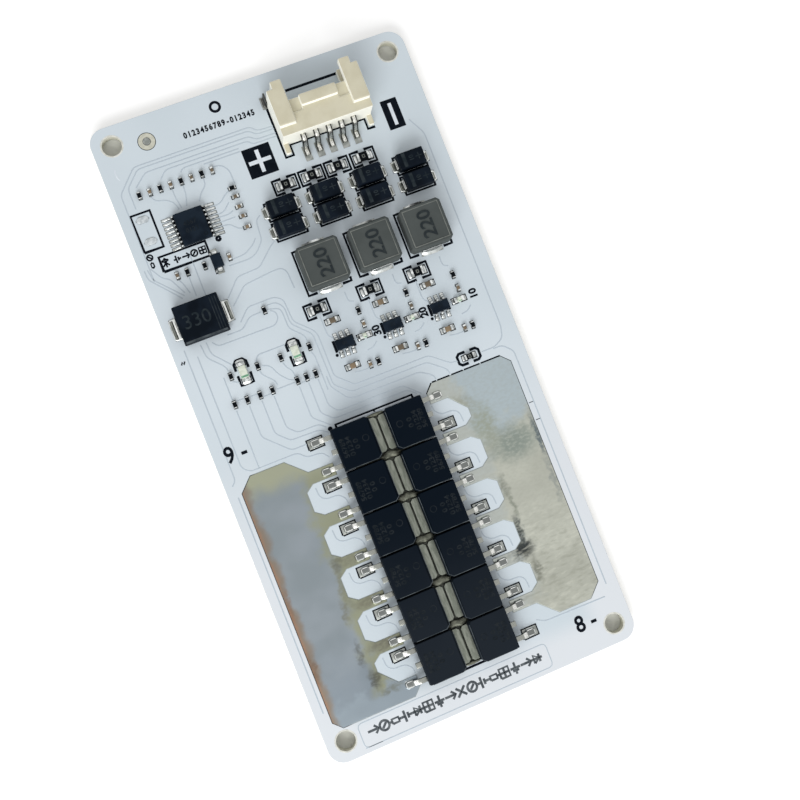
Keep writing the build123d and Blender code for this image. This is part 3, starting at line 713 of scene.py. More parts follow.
# Tracks under the mask
trackRoutes = [
    # cell taps to the monitor chip, along the upper left corner
    [(-23.45, 26), (-23.4, 39.7), (-20.2, 43.0), (-2.0, 43.0), (-1.1, 42.1), (1.4, 42.0)],
    [(-22.1, 37), (-22.1, 40.2), (-19.8, 42.5), (-2.4, 42.5), (-1.4, 41.6), (1.4, 41.6)],
    [(-20.9, 40), (-18.9, 41.7), (-2.7, 41.7), (-1.7, 40.9), (1.4, 40.9)],
    [(-17.1, 40), (-16.0, 41.1), (-3.1, 41.1), (-2.4, 40.4), (1.4, 40.4)],
    [(-14, 40), (-13.5, 40.5), (-4.7, 40.5)],
    [(-10.4, 40), (-4.7, 40.0)],
    [(-9.3, 39.2), (-8, 39), (-7.2, 37.9), (-7.15, 35.8)],
    [(-19.4, 38), (-19, 37.2), (-17.4, 36.8), (-16.5, 36), (-16.2, 34.9)],
    [(-16.1, 38), (-16.1, 36.8), (-15.8, 35.0)],
    [(-14.4, 38), (-14.5, 36.5), (-15, 35.0)],
    [(-11.2, 38), (-11.3, 37), (-12.4, 36), (-13, 35)],
    [(-11.4, 33.6), (-10.2, 33.7), (-9.2, 34.6), (-8.4, 35)],
    [(-11.4, 32.2), (-10.2, 32.3), (-9, 33.4)],
    [(-11.4, 31.75), (-9.6, 31.7), (-8.9, 32)],
    [(-11.4, 31), (-8.9, 31)],
    [(-11.4, 30.4), (-10.1, 30.3), (-9.2, 29.3), (-8.6, 29.1)],
    [(-5.4, 30), (-6.2, 29.5), (-6.4, 28), (-6.5, 26.4), (-8, 24.8), (-9.2, 24.4), (-12.4, 24.45)],
    [(-7.3, 27), (-8, 26.2), (-9.6, 25.3), (-11.5, 25.2)],
    # left middle, from the guard parts past the supply diode
    [(-24.25, 28), (-24.2, 26.6), (-20.5, 22.3)],
    [(-23.8, 28), (-23.5, 26.3), (-20.1, 22.6)],
    [(-23.3, 28), (-22.2, 26.1), (-21.2, 25.6), (-19.9, 23)],
    [(-20, 25), (-19.6, 24.2), (-19.2, 22.7)],
    [(-18.5, 25), (-18.5, 22)],
    [(-17.2, 28), (-17.2, 21.6)],
    [(-14.3, 20), (-11.9, 22.5), (-8.3, 22.7), (-5.5, 25.2), (-4.8, 25.6)],
    [(-14, 18.6), (-11.4, 21.0), (-6.8, 21.5), (-5.4, 21.5), (-4.75, 20.8), (-4.6, 18)],
    [(-13.9, 16), (-12.1, 17.75), (-8.0, 17.8), (-6.8, 17.0), (-6.6, 13.4), (-4.2, 11), (-3.9, 10),
     (-3.9, 3.6), (-1.5, 1.3), (10.5, 1.3), (13.2, -0.9), (14.4, -1.1)],
    [(-9.5, 17), (-8.0, 17.0), (-7.1, 15.9), (-7.1, 13.2), (-4.6, 10.6), (-4.5, 2.4), (-2.3, 0.45),
     (9.9, 0.45), (12.4, -1.6), (12.6, -2.4)],
    [(-9.6, 16.4), (-7.9, 16), (-7.6, 15.2), (-7.6, 12.7), (-5.8, 10.8), (-5.7, 9.8)],
    [(-16.4, 14.9), (-14, 14.9), (-12.4, 16.3), (-10.6, 16.4)],
    [(-18.9, 14.7), (-18.2, 13.85), (-9.3, 13.8), (-8.5, 14.6), (-8.5, 15.6), (-9.2, 16.1)],
    [(-20.6, 15), (-20.4, 12.8), (-18.4, 10.7), (-18.2, 9.9)],
    [(-19.7, 15), (-19.6, 13.1), (-17.4, 10.6)],
    [(-23.1, 15), (-23.1, -5.5), (-23.8, -6.2)],
    [(-21.6, 13.5), (-21.6, -4.1), (-20.6, -5.1), (-13.2, -5.1), (-12.1, -6.2), (-9.8, -6.4), (-9, -7.4)],
    # lamps and the resistor ladder
    [(-19.2, 9.2), (-19.2, 5.6)],
    [(-18.2, 8.2), (-17.2, 7.7)],
    [(-13.9, 9.7), (-13.4, 10.6), (-9, 10.6)],
    [(-13.3, 8.9), (-12.2, 8.4), (-11.5, 6.8), (-10.4, 5.5), (-9.7, 5.2)],
    [(-13.9, 8.2), (-13.7, 7.5), (-12.4, 6.2), (-12.2, 5.4)],
    [(-10.3, 8.2), (-10, 7.3), (-9.4, 6.6), (-9.3, 5.5)],
    [(-5.8, 8.2), (-5.5, 7.5), (-5.5, 2)],
    [(-18.7, 5.3), (-17.6, 5.3)], [(-16.8, 5.2), (-15.5, 5.2)], [(-14.8, 4.5), (-13.6, 4.5)],
    [(-12.5, 4.8), (-9.7, 4.8)], [(-8.9, 4.4), (-8.2, 4.4)], [(-7.4, 4.4), (-6.7, 4.4)],
    [(-19.2, 4), (-19.2, -5.1)],
    [(-17.2, 4), (-17.2, -1.0), (-13.8, -4.4), (-11.2, -4.4)],
    [(-15.2, 4), (-15.2, -1.2), (-13.4, -3.0), (-8.9, -3.1), (-7.8, -3.9)],
    [(-13.3, 4), (-13.3, -1.0), (-12.0, -2.3), (-8.7, -2.3), (-7.8, -3.1)],
    [(-9.3, 4), (-9.3, -1.0), (-7.1, -3.0)],
    [(-7.8, 4), (-7.8, -0.8), (-6.3, -2.3), (5.6, -2.35), (6.8, -3.4)],
    [(-6.3, 4), (-6.3, -0.2), (-5.2, -1.5), (5.2, -1.5), (7.4, -3.6)],
    [(-5.0, 4), (-5.0, 2.3), (-3.2, -0.2), (-2.2, -0.5), (8.3, -0.5), (10.0, -1.6), (10.3, -2.4)],
    # right side
    [(18.4, -1.1), (20.6, -1.1), (22.2, -0.2), (22.65, 1.6), (22.65, 33.4), (21.2, 36.1)],
    [(20.2, -1.3), (21.7, -1.3), (23.1, -2.7), (23.1, -41)],
    [(-23.6, -8), (-23.6, -42)],
    [(11, -41.8), (12.2, -42.5), (22.2, -42.7)],
]
# the same five beside every balance chip
balanceRoutes = [
    [(-0.8, 3), (0.2, 2.8), (1.8, 2.8)],
    [(2.2, 5.4), (3.2, 5.5), (4, 6.2)],
    [(2.2, 14.8), (2.2, 13.3), (3, 13)],
    [(-2.6, 12.6), (-2.6, 9.6), (-1.9, 8.9)],
    [(0.9, 7.6), (1.9, 7.6)],
]
# one bent line on each white island between the fingers of the load pad
islandRoutes = [[(-12.6, -10.9), (-12.5, -12.4), (-11.7, -13.05), (-9.9, -13.1), (-9, -13.9), (-8.9, -14.8)]]


trackLook = {"width": 0.2, "frameWidth": 0.16, "rise": 0.02}


def shifted(routes, dx, dy):
    return [[(x + dx, y + dy) for x, y in route] for route in routes]


def makeTracks():
    pitch = (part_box("transistor_left_1_body")[1].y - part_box("transistor_left_2_body")[1].y) / mm
    spacing = (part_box("balance_chip_2_body")[1].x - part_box("balance_chip_1_body")[1].x) / mm
    routes = trackRoutes[:]
    for column in range(3):
        routes += shifted(balanceRoutes, column * spacing, 0)
    # the other column's islands are the same, turned by half round the array's middle
    turned = [[(-0.76 - x, -20.76 - y) for x, y in route] for route in islandRoutes]
    for row in range(5):
        routes += shifted(islandRoutes + turned, 0, -row * pitch)
    form = bmesh.new()
    rise = trackLook["rise"]
    addLines(form, [eased(route) for route in routes], trackLook["width"], rise, boardTop)
    frameRoute = eased(rectangle(-19.7, -49.2, 10.85, -45.5)[:-1] + [(-19.7, -49.2), (-17, -49.2)], 0.6)
    addLines(form, [frameRoute], trackLook["frameWidth"], rise, boardTop)
    closePiece(form, "masked_tracks", "maskOverTrack")


makeTracks()
print("tracks made")

# Bare copper, tinned
padFinishes = {
    "load_negative_pad": "loadPadTin",
    "battery_negative_pad": "batteryPadTin",
    # painted shade: the drain pad's tin is dark where it shows between the transistors
    "drain_pad": "shadedDrainTin",
}
for node, look in padFinishes.items():
    softPiece(node, node + "_tinned", 0.03, look, 2, 40)


# Lands of the small parts; the two probe lands are oval and paler
probeLands = {"corner": 0.58, "shrink": 0.86}


def makeLands():
    form = mergedCopy("signal_lands")
    probe = [e for e in form.edges if all(v.co.x < -20 * mm and v.co.y > 30 * mm for v in e.verts)]
    bevelEdges(form, uprightEdges(probe, 0.01 * mm), probeLands["corner"] * mm, 5)
    roundEdges(form, 0.03, 2, 40)
    for x0, y0, x1, y1, z0, z1 in solidBoxes("signal_lands"):
        if x1 < -20 and y0 > 30:
            middle = Vector((x0 + x1, y0 + y1)) / 2 * mm
            for vert in form.verts:
                if x0 * mm <= vert.co.x <= x1 * mm and y0 * mm <= vert.co.y <= y1 * mm:
                    vert.co.xy = middle + (vert.co.xy - middle) * probeLands["shrink"]
    for face in form.faces:
        middle = face.calc_center_median() / mm
        face.material_index = 1 if middle.x < -20 and middle.y > 30 and face.normal.z > 0.9 else 0
    mesh = meshFrom(form, "small_lands")
    newPiece("small_lands", mesh, ["tinnedLand", "probeLand"], ["signal_lands"])


makeLands()


# Narrow rim where the mask meets each large pad: painted shade of the pad's raised edge
def makePadRimShade():
    form = bmesh.new()
    for node in ("load_negative_pad", "battery_negative_pad"):
        outline = mergedCopy(node)
        rim = [f for f in outline.faces if abs(f.normal.z) > 0.5]
        bmesh.ops.delete(outline, geom=rim, context="FACES")
        for vert in outline.verts:
            low = vert.co.z < (boardTop + padTop) / 2 * mm
            vert.co.z = boardTop * mm if low else (boardTop + padRimShade["rise"]) * mm
        for vert, shift in [(v, v.normal.copy() * padRimShade["width"] * mm) for v in outline.verts]:
            if vert.co.z < (boardTop + padRimShade["rise"] / 2) * mm:
                vert.co.x += shift.x
                vert.co.y += shift.y
        mesh = bpy.data.meshes.new("edge")
        outline.to_mesh(mesh)
        outline.free()
        addMesh(form, mesh)
    closePiece(form, "pad_rim_shade", "padRimShade")


makePadRimShade()
print("pads made")

# Print on the mask
printLook = {
    # widths of the lines, then their rise
    "line": 0.42,
    "strong": 0.45,
    "legend": 0.26,
    "signs": 0.38,
    "white": 0.16,
    "tick": 0.14,
    "rise": 0.022,
    # middles of the brackets round the resistors and of the lamps' frames; width, height, half gap
    "brackets": [(x, 32.98) for x in (-0.1, 4.07, 8.22, 12.45)] + [(x, 13.78) for x in (-2.6, 5.9, 13.6)],
    "bracketSize": (3.7, 2.2, 0.45),
    "lampFrames": ((-16.2, 9.05), (-7.95, 9.05)),
    "lampFrameSize": (1.95, 3.8, 0.35),
    # painted shade in dashes along the battery pad's upper edge, where the mask meets the pad
    "shadeDashes": ((9.5, 10.2), (10.4, 12.4), (12.7, 14.6), (14.8, 17.4), (17.6, 20.8)),
    # filled boxes beside the connector, and painted shade beside the monitor chip's leads, then dots with
    # their radius
    "fields": (
        (-4.55, 35.4, -0.2, 40.0), (17.9, 35.4, 20.5, 40.05),
        (-17.85, 29.45, -17.3, 34.15), (-13.2, 29.45, -12.6, 34.15),
    ),
    "dots": ((-7.35, -3.55, 0.36), (-2.35, 6.3, 0.24), (5.4, 6.3, 0.24), (13.15, 6.3, 0.24)),
    # boxes that make a white plus and minus
    "arms": (
        (-4.12, 37.4, -0.62, 38.0), (-2.67, 35.95, -2.07, 37.4),
        (-2.67, 38.0, -2.07, 39.45), (18.92, 35.95, 19.47, 39.45),
    ),
}
# What stands by itself; the frames round parts follow their parts
strongRoutes = [
    # probe lands, legend and link resistor
    rectangle(-23.25, 30.5, -20.3, 36.25),
    rectangle(-21.6, 26.9, -14.4, 29.2),
    [(15.9, -0.15), (14.9, -0.15), (14.5, -0.5), (14.5, -1.6), (14.9, -1.95), (15.9, -1.95)],
    [(16.7, -0.15), (17.6, -0.15), (18.0, -0.5), (18.0, -1.6), (17.6, -1.95), (16.7, -1.95)],
]
lineRoutes = [
    ringRoute(-5.72, 47.58, 0.71),
    # connector: left side, legs and rear, then the front
    [(1.45, 46.6), (1.45, 36.8), (2.7, 36.8), (2.7, 38.45), (14.75, 38.45), (14.75, 36.8), (15.9, 36.8)],
    [(5.05, 46.4), (13.5, 46.4)],
    ringRoute(-12.4, 28.85, 0.28, 12),
    # transistor array
    [(-6.4, -3.8), (-6.4, -3.25), (5.9, -3.25), (5.9, -3.8)],
    [(-0.25, -3.25), (-0.25, -3.6)],
    [(-2.0, -44.35), (1.7, -44.35)],
]


def bracket(x, y, width, height, gap):
    # a box left open at the middle of its long sides
    left, right, low, high = x - width / 2, x + width / 2, y - height / 2, y + height / 2
    return [
        [(x - gap, high), (left, high), (left, low), (x - gap, low)],
        [(x + gap, high), (right, high), (right, low), (x + gap, low)],
    ]


def lampFrame(x, y, width, height, gap):
    left, right, low, high = x - width / 2, x + width / 2, y - height / 2, y + height / 2
    slopes = [(left, high - 0.5), (left + 0.5, high), (right - 0.5, high), (right, high - 0.5)]
    lower = [(left, y - gap), (left, low), (right, low), (right, y - gap)]
    return [[(left, y + gap), *slopes, (right, y + gap)], lower]


# Small drawn signs, centred on the origin in a unit square
bar = [(-0.5, 0), (0.5, 0)]
signs = {
    "cell": [
        [(-0.5, 0), (-0.15, 0)], [(-0.15, -0.5), (-0.15, 0.5)],
        [(0.15, -0.25), (0.15, 0.25)], [(0.15, 0), (0.5, 0)],
    ],
    "resistor": [[(-0.5, 0), (-0.3, 0)], rectangle(-0.3, -0.2, 0.3, 0.2), [(0.3, 0), (0.5, 0)]],
    "diode": [bar, [(-0.25, -0.35), (-0.25, 0.35), (0.25, 0), (-0.25, -0.35)], [(0.25, -0.35), (0.25, 0.35)]],
    "arrow": [bar, [(0.15, 0.35), (0.5, 0), (0.15, -0.35)]],
    "cross": [[(-0.4, -0.4), (0.4, 0.4)], [(-0.4, 0.4), (0.4, -0.4)]],
    "box": [rectangle(-0.42, -0.42, 0.42, 0.42), [(-0.42, 0), (0.42, 0)], [(0, -0.42), (0, 0.42)]],
    "ground": [
        [(0, 0.5), (0, 0)], [(-0.45, 0), (0.45, 0)],
        [(-0.28, -0.22), (0.28, -0.22)], [(-0.1, -0.44), (0.1, -0.44)],
    ],
    "meter": [ringRoute(0, 0, 0.42, 14), [(-0.2, -0.2), (0.2, 0.2)]],
}
signRow = (
    "arrow", "meter", "resistor", "cell", "diode", "box", "ground", "arrow",
    "cross", "meter", "cell", "resistor", "box", "ground", "arrow", "diode",
)


def signRoutes(name, x, y, size, turn=0):
    c, s = math.cos(math.radians(turn)), math.sin(math.radians(turn))

    def placed(u, v):
        return x + size * (u * c - v * s), y + size * (u * s + v * c)
    return [[placed(u, v) for u, v in route] for route in signs[name]]


# Fixed lines, and the frames that follow the parts they stand round
def frameRoutes():
    lines, strong = lineRoutes[:], strongRoutes[:]
    for x, y in printLook["brackets"]:
        strong += bracket(x, y, *printLook["bracketSize"])
    for x, y in printLook["lampFrames"]:
        lines += lampFrame(x, y, *printLook["lampFrameSize"])
    for stem in cellDiodes:
        x0, y0, x1, y1, z0, z1 = planBox(stem)
        x0, y0, x1, y1 = x0 - 0.15, y0 - 0.1, x1 + 0.3, y1 + 0.1
        for y, inner in ((y0, y0 + 0.5), (y1, y1 - 0.5)):
            lines.append([(x0, inner), (x0, y), (x1, y), (x1, inner)])
    for number in range(1, 4):
        x0, y0, x1, y1, z0, z1 = planBox(f"inductor_{number}_core")
        x0, y0, x1, y1 = x0 - 0.2, y0 - 0.25, x1 + 0.05, y1 + 0.1
        strong.append([(x0 + 1.4, y0), (x0, y0), (x0, y1), (x0 + 1.4, y1)])
        strong.append([(x1 - 1.4, y0), (x1, y0), (x1, y0 + 0.6)])
        x0, y0, x1, y1, z0, z1 = planBox(f"balance_chip_{number}_body")
        for x in (x0 - 0.1, x1 - 0.05):
            lines.append([(x, y0 - 0.12), (x, y1 + 0.12)])
    for x0, y0, x1, y1, z0, z1 in solidBoxes("signal_lands"):
        if 2.0 < x1 - x0 < 2.5 and y1 - y0 < 1.5 and y1 < 0:
            lines.append(rectangle(x0 - 0.04, y0 - 0.04, x1 + 0.04, y1 + 0.04))
    # painted shade along the battery pad's upper edge
    for x0, x1 in printLook["shadeDashes"]:
        lines.append([(x0, -2.72), (x1, -2.72)])
    lines.append([(8.15, -4.1), (9.4, -2.75)])
    return lines, strong


def legendRoutes():
    routes = signRoutes("cross", -20.9, 28.1, 1.2) + signRoutes("arrow", -20.9, 28.1, 1.4, 90)
    for place, name in enumerate(("cell", "arrow", "meter", "box")):
        routes += signRoutes(name, -19.1 + 1.3 * place, 28.05, 1.15)
    routes += signRoutes("meter", -22.8, 29.6, 1.0, 90) + signRoutes("resistor", -22.8, 28.4, 1.0, 90)
    return routes + [[(-24.2, 13.1), (-24.0, 13.5), (-23.8, 13.1), (-23.6, 13.5)]]


def makeBlackPrintAndShade():
    form = bmesh.new()
    lines, strong = frameRoutes()
    addLines(form, lines, printLook["line"], printLook["rise"], boardTop)
    addLines(form, strong, printLook["strong"], printLook["rise"], boardTop)
    addLines(form, legendRoutes(), printLook["legend"], 0.02, boardTop)
    for field in printLook["fields"]:
        addInk(form, *field)
    # painted shade: a dark bar in the gap between the two cell diodes of each pair
    for number in range(1, 5):
        lower, upper = planBox(f"cell_diode_lower_{number}"), planBox(f"cell_diode_upper_{number}")
        addInk(form, upper[0] + 0.3, lower[3] - 0.1, lower[2] - 0.3, upper[1] + 0.1)
    for x, y, radius in printLook["dots"]:
        addDisc(form, x, y, radius, boardTop - 0.01, boardTop + 0.014)
    for place, figure in enumerate("0123456789-012345"):
        addText(form, figure, 1.2, -11.4 + 0.665 * place, 44.9, boardTop, wide=0.85, weight=0.055)
    for text, x, y in (("9 -", -21.6, -1.85), ("8 -", 17.95, -45.15)):
        addText(form, text, 3.5, x, y, boardTop, wide=0.9, weight=0.07)
    for figure, x in (("30", 4.62), ("20", 12.3), ("10", 20.55)):
        addText(form, figure, 1.6, x, 7.7, boardTop, turn=90, weight=0.07)
    closePiece(form, "black_print_and_shade", "blackPrintAndShade")


# A plus and a minus in the black fields, fine lines beside the array, one in the upper left corner
def makeWhitePrint():
    form = bmesh.new()
    for arm in printLook["arms"]:
        addInk(form, *arm, 0.022)
    white = [[(-6.1, -3.5), (5.6, -3.5)], [(-1.7, -44.12), (1.4, -44.12)]]
    white.append([(-22.9, 43.6), (-22.98, 42.9), (-22.9, 42.2), (-22.7, 41.8)])
    addLines(form, white, printLook["white"], 0.02, boardTop)
    closePiece(form, "white_print", "whitePrint")


# A row of signs along the far end, and two ticks by the battery pad
def makeGreyPrint():
    form = bmesh.new()
    routes = []
    for place, name in enumerate(signRow):
        routes += signRoutes(name, -17.7 + 1.77 * place, -47.15, 1.75)
    addLines(form, routes, printLook["signs"], 0.02, boardTop)
    ticks = [[(22.3, -11.0), (23.0, -11.0)], [(22.35, -13.8), (23.05, -13.8)]]
    addLines(form, ticks, printLook["tick"], 0.02, boardTop)
    closePiece(form, "grey_print", "greyPrintAndShade")


cellDiodes = [f"cell_diode_{row}_{number}" for row in ("upper", "lower") for number in range(1, 5)]
makeBlackPrintAndShade()
makeWhitePrint()
makeGreyPrint()
print("print made")


# Sighting mark: mask-free laminate round a copper dot
sight = {"place": (-17.0, 46.0), "dot": 0.55, "clearing": 1.34, "rim": 1.3, "hole": 1.58}


def makeSight():
    form = bmesh.new()
    addDisc(form, *sight["place"], sight["clearing"], boardTop - 0.01, boardTop + 0.006, 40)
    closePiece(form, "sight_clearing", "bareLaminate")
    form = bmesh.new()
    addLines(form, [ringRoute(*sight["place"], sight["dot"])], 0.12, 0.02, boardTop + 0.01)
    addLines(form, [ringRoute(*sight["place"], sight["rim"], 36)], 0.12, 0.012, boardTop)
    closePiece(form, "sight_rings", "engravedPowder")
    # a pale ring round each hole: painted light on the holes' lit rims
    holes = [ringRoute(x, y, sight["hole"], 36) for x in (-22, 22) for y in (-47, 47)]
    form = bmesh.new()
    addLines(form, holes, 0.24, 0.012, boardTop)
    closePiece(form, "hole_rings", "holeRimLight")


makeSight()


# Transistors: stem, the side that the outer leads point to, and the body's plan box
def transistors():
    for side, away in (("left", -1), ("right", 1)):
        for number in range(1, 7):
            stem = f"transistor_{side}_{number}"
            yield stem, away, planBox(stem + "_body")


# Radii of the rounded edges; the leads' finish starts past the case's middle
transistorEdges = {"case": 0.09, "metal": 0.06}


def makeTransistors():
    for stem, away, body in transistors():
        radius = transistorEdges["case"]
        softPiece(stem + "_body", stem + "_case", radius, "transistorCase", 2, 25)
        form = mergedCopy(stem + "_frame")
        roundEdges(form, transistorEdges["metal"], 2, 40)
        middle = abs(middleOf(body)[0]) * mm
        for face in form.faces:
            face.material_index = 1 if abs(face.calc_center_median().x) > middle else 0
        mesh = meshFrom(form, stem + "_metal")
        weigh(newPiece(stem + "_metal", mesh, ["heatTab", "formedLead"], [stem + "_frame"]))


# Moulding mark, plain laser figures and a painted highlight line along the parting edge; distances run from
# the tab's edge
caseMarks = {
    "ring": {"from": 1.55, "above": 0.35, "radius": 0.47},
    "figures": ((3.1, "0 0"), (4.1, "01234"), (5.05, "56789")),
    "figureSize": 1.05,
    "rim": {"from": 0.14, "to": 5.6, "cut": 0.62},
}


def makeCaseMarks():
    form = bmesh.new()
    rims = []
    ring, rim = caseMarks["ring"], caseMarks["rim"]
    for stem, away, (x0, y0, x1, y1, z0, top) in transistors():
        tabEdge = x0 if away > 0 else x1
        y = (y0 + y1) / 2
        route = ringRoute(tabEdge + away * ring["from"], y + ring["above"], ring["radius"], 18)
        addLines(form, [route], 0.11, 0.015, top)
        for place, text in caseMarks["figures"]:
            x = tabEdge + away * place
            addText(form, text, caseMarks["figureSize"], x, y, top, 0.012, 90, 1.15, 0.03)
        # painted highlight along the parting edge
        edge = tabEdge + away * rim["from"]
        rims.append([
            (edge, y1 - 0.5), (edge, y0 + rim["cut"]), (edge + away * rim["cut"], y0 + 0.1),
            (tabEdge + away * rim["to"], y0 + 0.1),
        ])
    closePiece(form, "transistor_marks", "caseMark")
    form = bmesh.new()
    addLines(form, rims, 0.09, 0.012, top)
    closePiece(form, "transistor_rim_highlights", "rimHighlight")


# Solder round the transistor leads, in a lighter tone that is a painted highlight, and the wavy beads that
# join the tabs
leadJoint = {"inward": 1.25, "outward": 0.12, "height": 0.42}
tabBead = {"size": (1.75, 0.6, 0.5), "height": 0.25, "wave": 0.1, "swell": 0.05}
endBead = {"size": (1.4, 0.28, 0.3), "height": 0.15, "past": 3.0}


def addBead(form, x, y, bead, count):
    middle = Matrix.Translation(Vector((x, y, padTop + bead["height"])) * mm)
    scale = Matrix.Diagonal((*[reach * mm for reach in bead["size"]], 1))
    return bmesh.ops.create_uvsphere(
        form, u_segments=2 * count, v_segments=count, radius=1.0, matrix=middle @ scale
    )["verts"]


def makeTransistorSolder():
    form = bmesh.new()
    for stem, away, body in transistors():
        for x0, y0, x1, y1, z0, z1 in solidBoxes(stem + "_frame"):
            # the two outer leads: longer than the cut one and taller than the tab
            if x1 - x0 > 3.0 and z1 > 2.5:
                tip = x1 if away > 0 else x0
                low, high = sorted((tip - away * leadJoint["inward"], tip + away * leadJoint["outward"]))
                foot, seat = (low - 0.12, y0 - 0.3, high + 0.12, y1 + 0.3), (low, y0 - 0.1, high, y1 + 0.1)
                addJoint(form, foot, seat, padTop - 0.01, z0 + leadJoint["height"])
    # the lighter solder tone is a painted highlight
    closePiece(form, "lead_solder", "highlightSolder")
    form = bmesh.new()
    rows = [middleOf(body)[1] for stem, away, body in transistors() if away > 0]
    axis = (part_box("transistor_left_1_body")[1].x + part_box("transistor_right_1_body")[0].x) / 2 / mm
    for upper, lower in zip(rows, rows[1:]):
        verts = addBead(form, axis, (upper + lower) / 2, tabBead, 12)
        phase = dice.uniform(0, 6)
        for vert in verts:
            along = vert.co.x / mm - axis
            vert.co.y += tabBead["wave"] * math.sin(3.2 * along + phase) * mm
            vert.co.z += tabBead["swell"] * math.sin(5.0 * along + 2 * phase) * mm
    for y in (rows[0] + endBead["past"], rows[-1] - endBead["past"]):
        addBead(form, axis, y, endBead, 10)
    closePiece(form, "tab_beads", "dullSolder")


makeTransistors()
makeCaseMarks()
makeTransistorSolder()
print("transistors made")


# Connector: contacts as formed, but swollen by their plating and solder
contactLook = {"swell": 1.7, "edge": 0.16}


def makeContacts():
    form = mergedCopy("connector_pins")
    middles = [middleOf(box)[0] for box in solidBoxes("connector_pins")]
    for vert in form.verts:
        middle = min(middles, key=lambda m: abs(m - vert.co.x / mm)) * mm
        vert.co.x = middle + (vert.co.x - middle) * contactLook["swell"]
    roundEdges(form, contactLook["edge"], 3, 40)
    finishes["formedContact"] = contactMaterial()
    mesh = meshFrom(form, "connector_contacts")
    weigh(newPiece("connector_contacts", mesh, ["formedContact"], ["connector_pins"]))


softPiece("connector_housing", "connector_shroud", 0.2, "ivoryNylon", 1, 30)
makeContacts()
softPiece("connector_hold_downs", "connector_clips", 0.04, "clipTin", 1, 40)
print("connector made")

# Inductors, with a raised inner frame line in a paler tone as a painted highlight of the top edge, and plain
# figures
inductors = [f"inductor_{number}_core" for number in range(1, 4)]
inductorMarks = {"text": "220", "size": 2.9, "frameReach": 2.8}


def makeInductors():
    for node in inductors:
        softPiece(node, node.replace("core", "block"), 0.14, "pressedPowder", 3, 25)
    softTin("inductor_straps", "inductor_ends")
    form, lines = bmesh.new(), bmesh.new()
    for node in inductors:
        box = planBox(node)
        x, y = middleOf(box)
        addText(form, inductorMarks["text"], inductorMarks["size"], x + 0.2, y, box[5], 0.012, 90, 1.0, 0.05)
        inner = grow((x, y, x, y), inductorMarks["frameReach"])
        # painted highlight of the top edge
        addLines(lines, [rectangle(*inner)], 0.14, 0.014, box[5])
    closePiece(form, "inductor_figures", "engravedPowder")
    closePiece(lines, "inductor_frame_lines", "pressedRim")


def makeDiodes():
    for node in cellDiodes:
        softPiece(node, node + "_case", 0.08, "diodeCase", 2, 8)
    softTin("cell_diode_straps", "cell_diode_ends")
    softPiece("supply_diode_body", "supply_diode_case", 0.1, "diodeCase", 2, 8)
    softTin("supply_diode_straps", "supply_diode_ends")
    softPiece("clamp_diode_body", "clamp_diode_case", 0.05, "chipCase", 2, 15)


# Cell diodes: band, figures and sign. Supply diode: bars, figures and a painted highlight along its long
# lower edge
diodeMarks = {
    "band": (0.75, 1.3),  # start and end, counted from the case's left side
    "text": "10",
    "size": 0.95,
    "supplyBars": (0.5, 0.9, 1.3),  # counted from the case's right side
    "supplyText": "330",
}


def makeDiodeMarks():
    form = bmesh.new()
    for node in cellDiodes:
        x0, y0, x1, y1, z0, top = planBox(node)
        y = (y0 + y1) / 2
        start, end = diodeMarks["band"]
        addSlab(form, x0 + start, y0 + 0.22, x0 + end, y1 - 0.22, top - 0.01, top + 0.008)
        addText(form, diodeMarks["text"], diodeMarks["size"], x0 + 2.15, y, top, 0.012, 90, 1.0, 0.02)
        addLines(form, signRoutes("cross", x0 + 3.3, y, 0.9, 45), 0.14, 0.01, top)
    x0, y0, x1, y1, z0, top = planBox("supply_diode_body")
    bars = [[(x1 - offset, y0 + 0.5), (x1 - offset, y1 - 0.5)] for offset in diodeMarks["supplyBars"]]
    addLines(form, bars, 0.14, 0.012, top)
    addText(form, diodeMarks["supplyText"], 2.9, (x0 + x1) / 2 - 0.5, (y0 + y1) / 2, top, 0.012)
    closePiece(form, "diode_marks", "diodeMark")
    form = bmesh.new()
    # painted highlight along the lower edge
    addLines(form, [[(x0 + 0.3, y0 + 0.2), (x1 - 0.3, y0 + 0.2)]], 0.3, 0.012, top)
    closePiece(form, "diode_rim_highlight", "rimHighlight")


balanceChips = [f"balance_chip_{number}_body" for number in range(1, 4)]


def makeChips():
    for node in balanceChips:
        softPiece(node, node.replace("body", "case"), 0.05, "chipCase", 2, 15)
    softPiece("monitor_chip_body", "monitor_chip_case", 0.06, "chipCase", 2, 15)
    softTin("monitor_chip_leads", "monitor_chip_contacts", 0.03, 1)
    softTin("balance_chip_leads", "balance_chip_contacts", 0.04, 1)


# Monitor chip: a ring and two rows of figures. Balance chips: one row each
chipMarks = {"rows": ((-0.55, "0123"), (0.55, "4567")), "balanceText": "01"}


def makeChipMarks():
    form = bmesh.new()
    box = planBox("monitor_chip_body")
    x, y = middleOf(box)
    addLines(form, [ringRoute(box[2] - 0.8, box[1] + 0.75, 0.25, 14)], 0.06, 0.01, box[5])
    for place, text in chipMarks["rows"]:
        addText(form, text, 1.0, x - 0.2, y + place, box[5], 0.01)
    for node in balanceChips:
        box = planBox(node)
        addText(form, chipMarks["balanceText"], 0.8, *middleOf(box), box[5], 0.01)
    closePiece(form, "chip_marks", "caseMark")


def makeChipParts():
    softPiece("large_resistors", "large_resistor_tops", 0.04, "resistorGlaze", 2, 40)
    softPiece("small_resistors", "small_resistor_tops", 0.03, "resistorGlaze", 1, 40)
    softPiece("ceramic_capacitors", "capacitor_blocks", 0.05, "firedCeramic", 2, 40)
    softPiece("indicator_lamps", "lamp_lenses", 0.06, "lampLens", 2, 20)
    softPiece("chip_end_caps", "chip_ends", 0.06, "chipEnd", 2, 40)


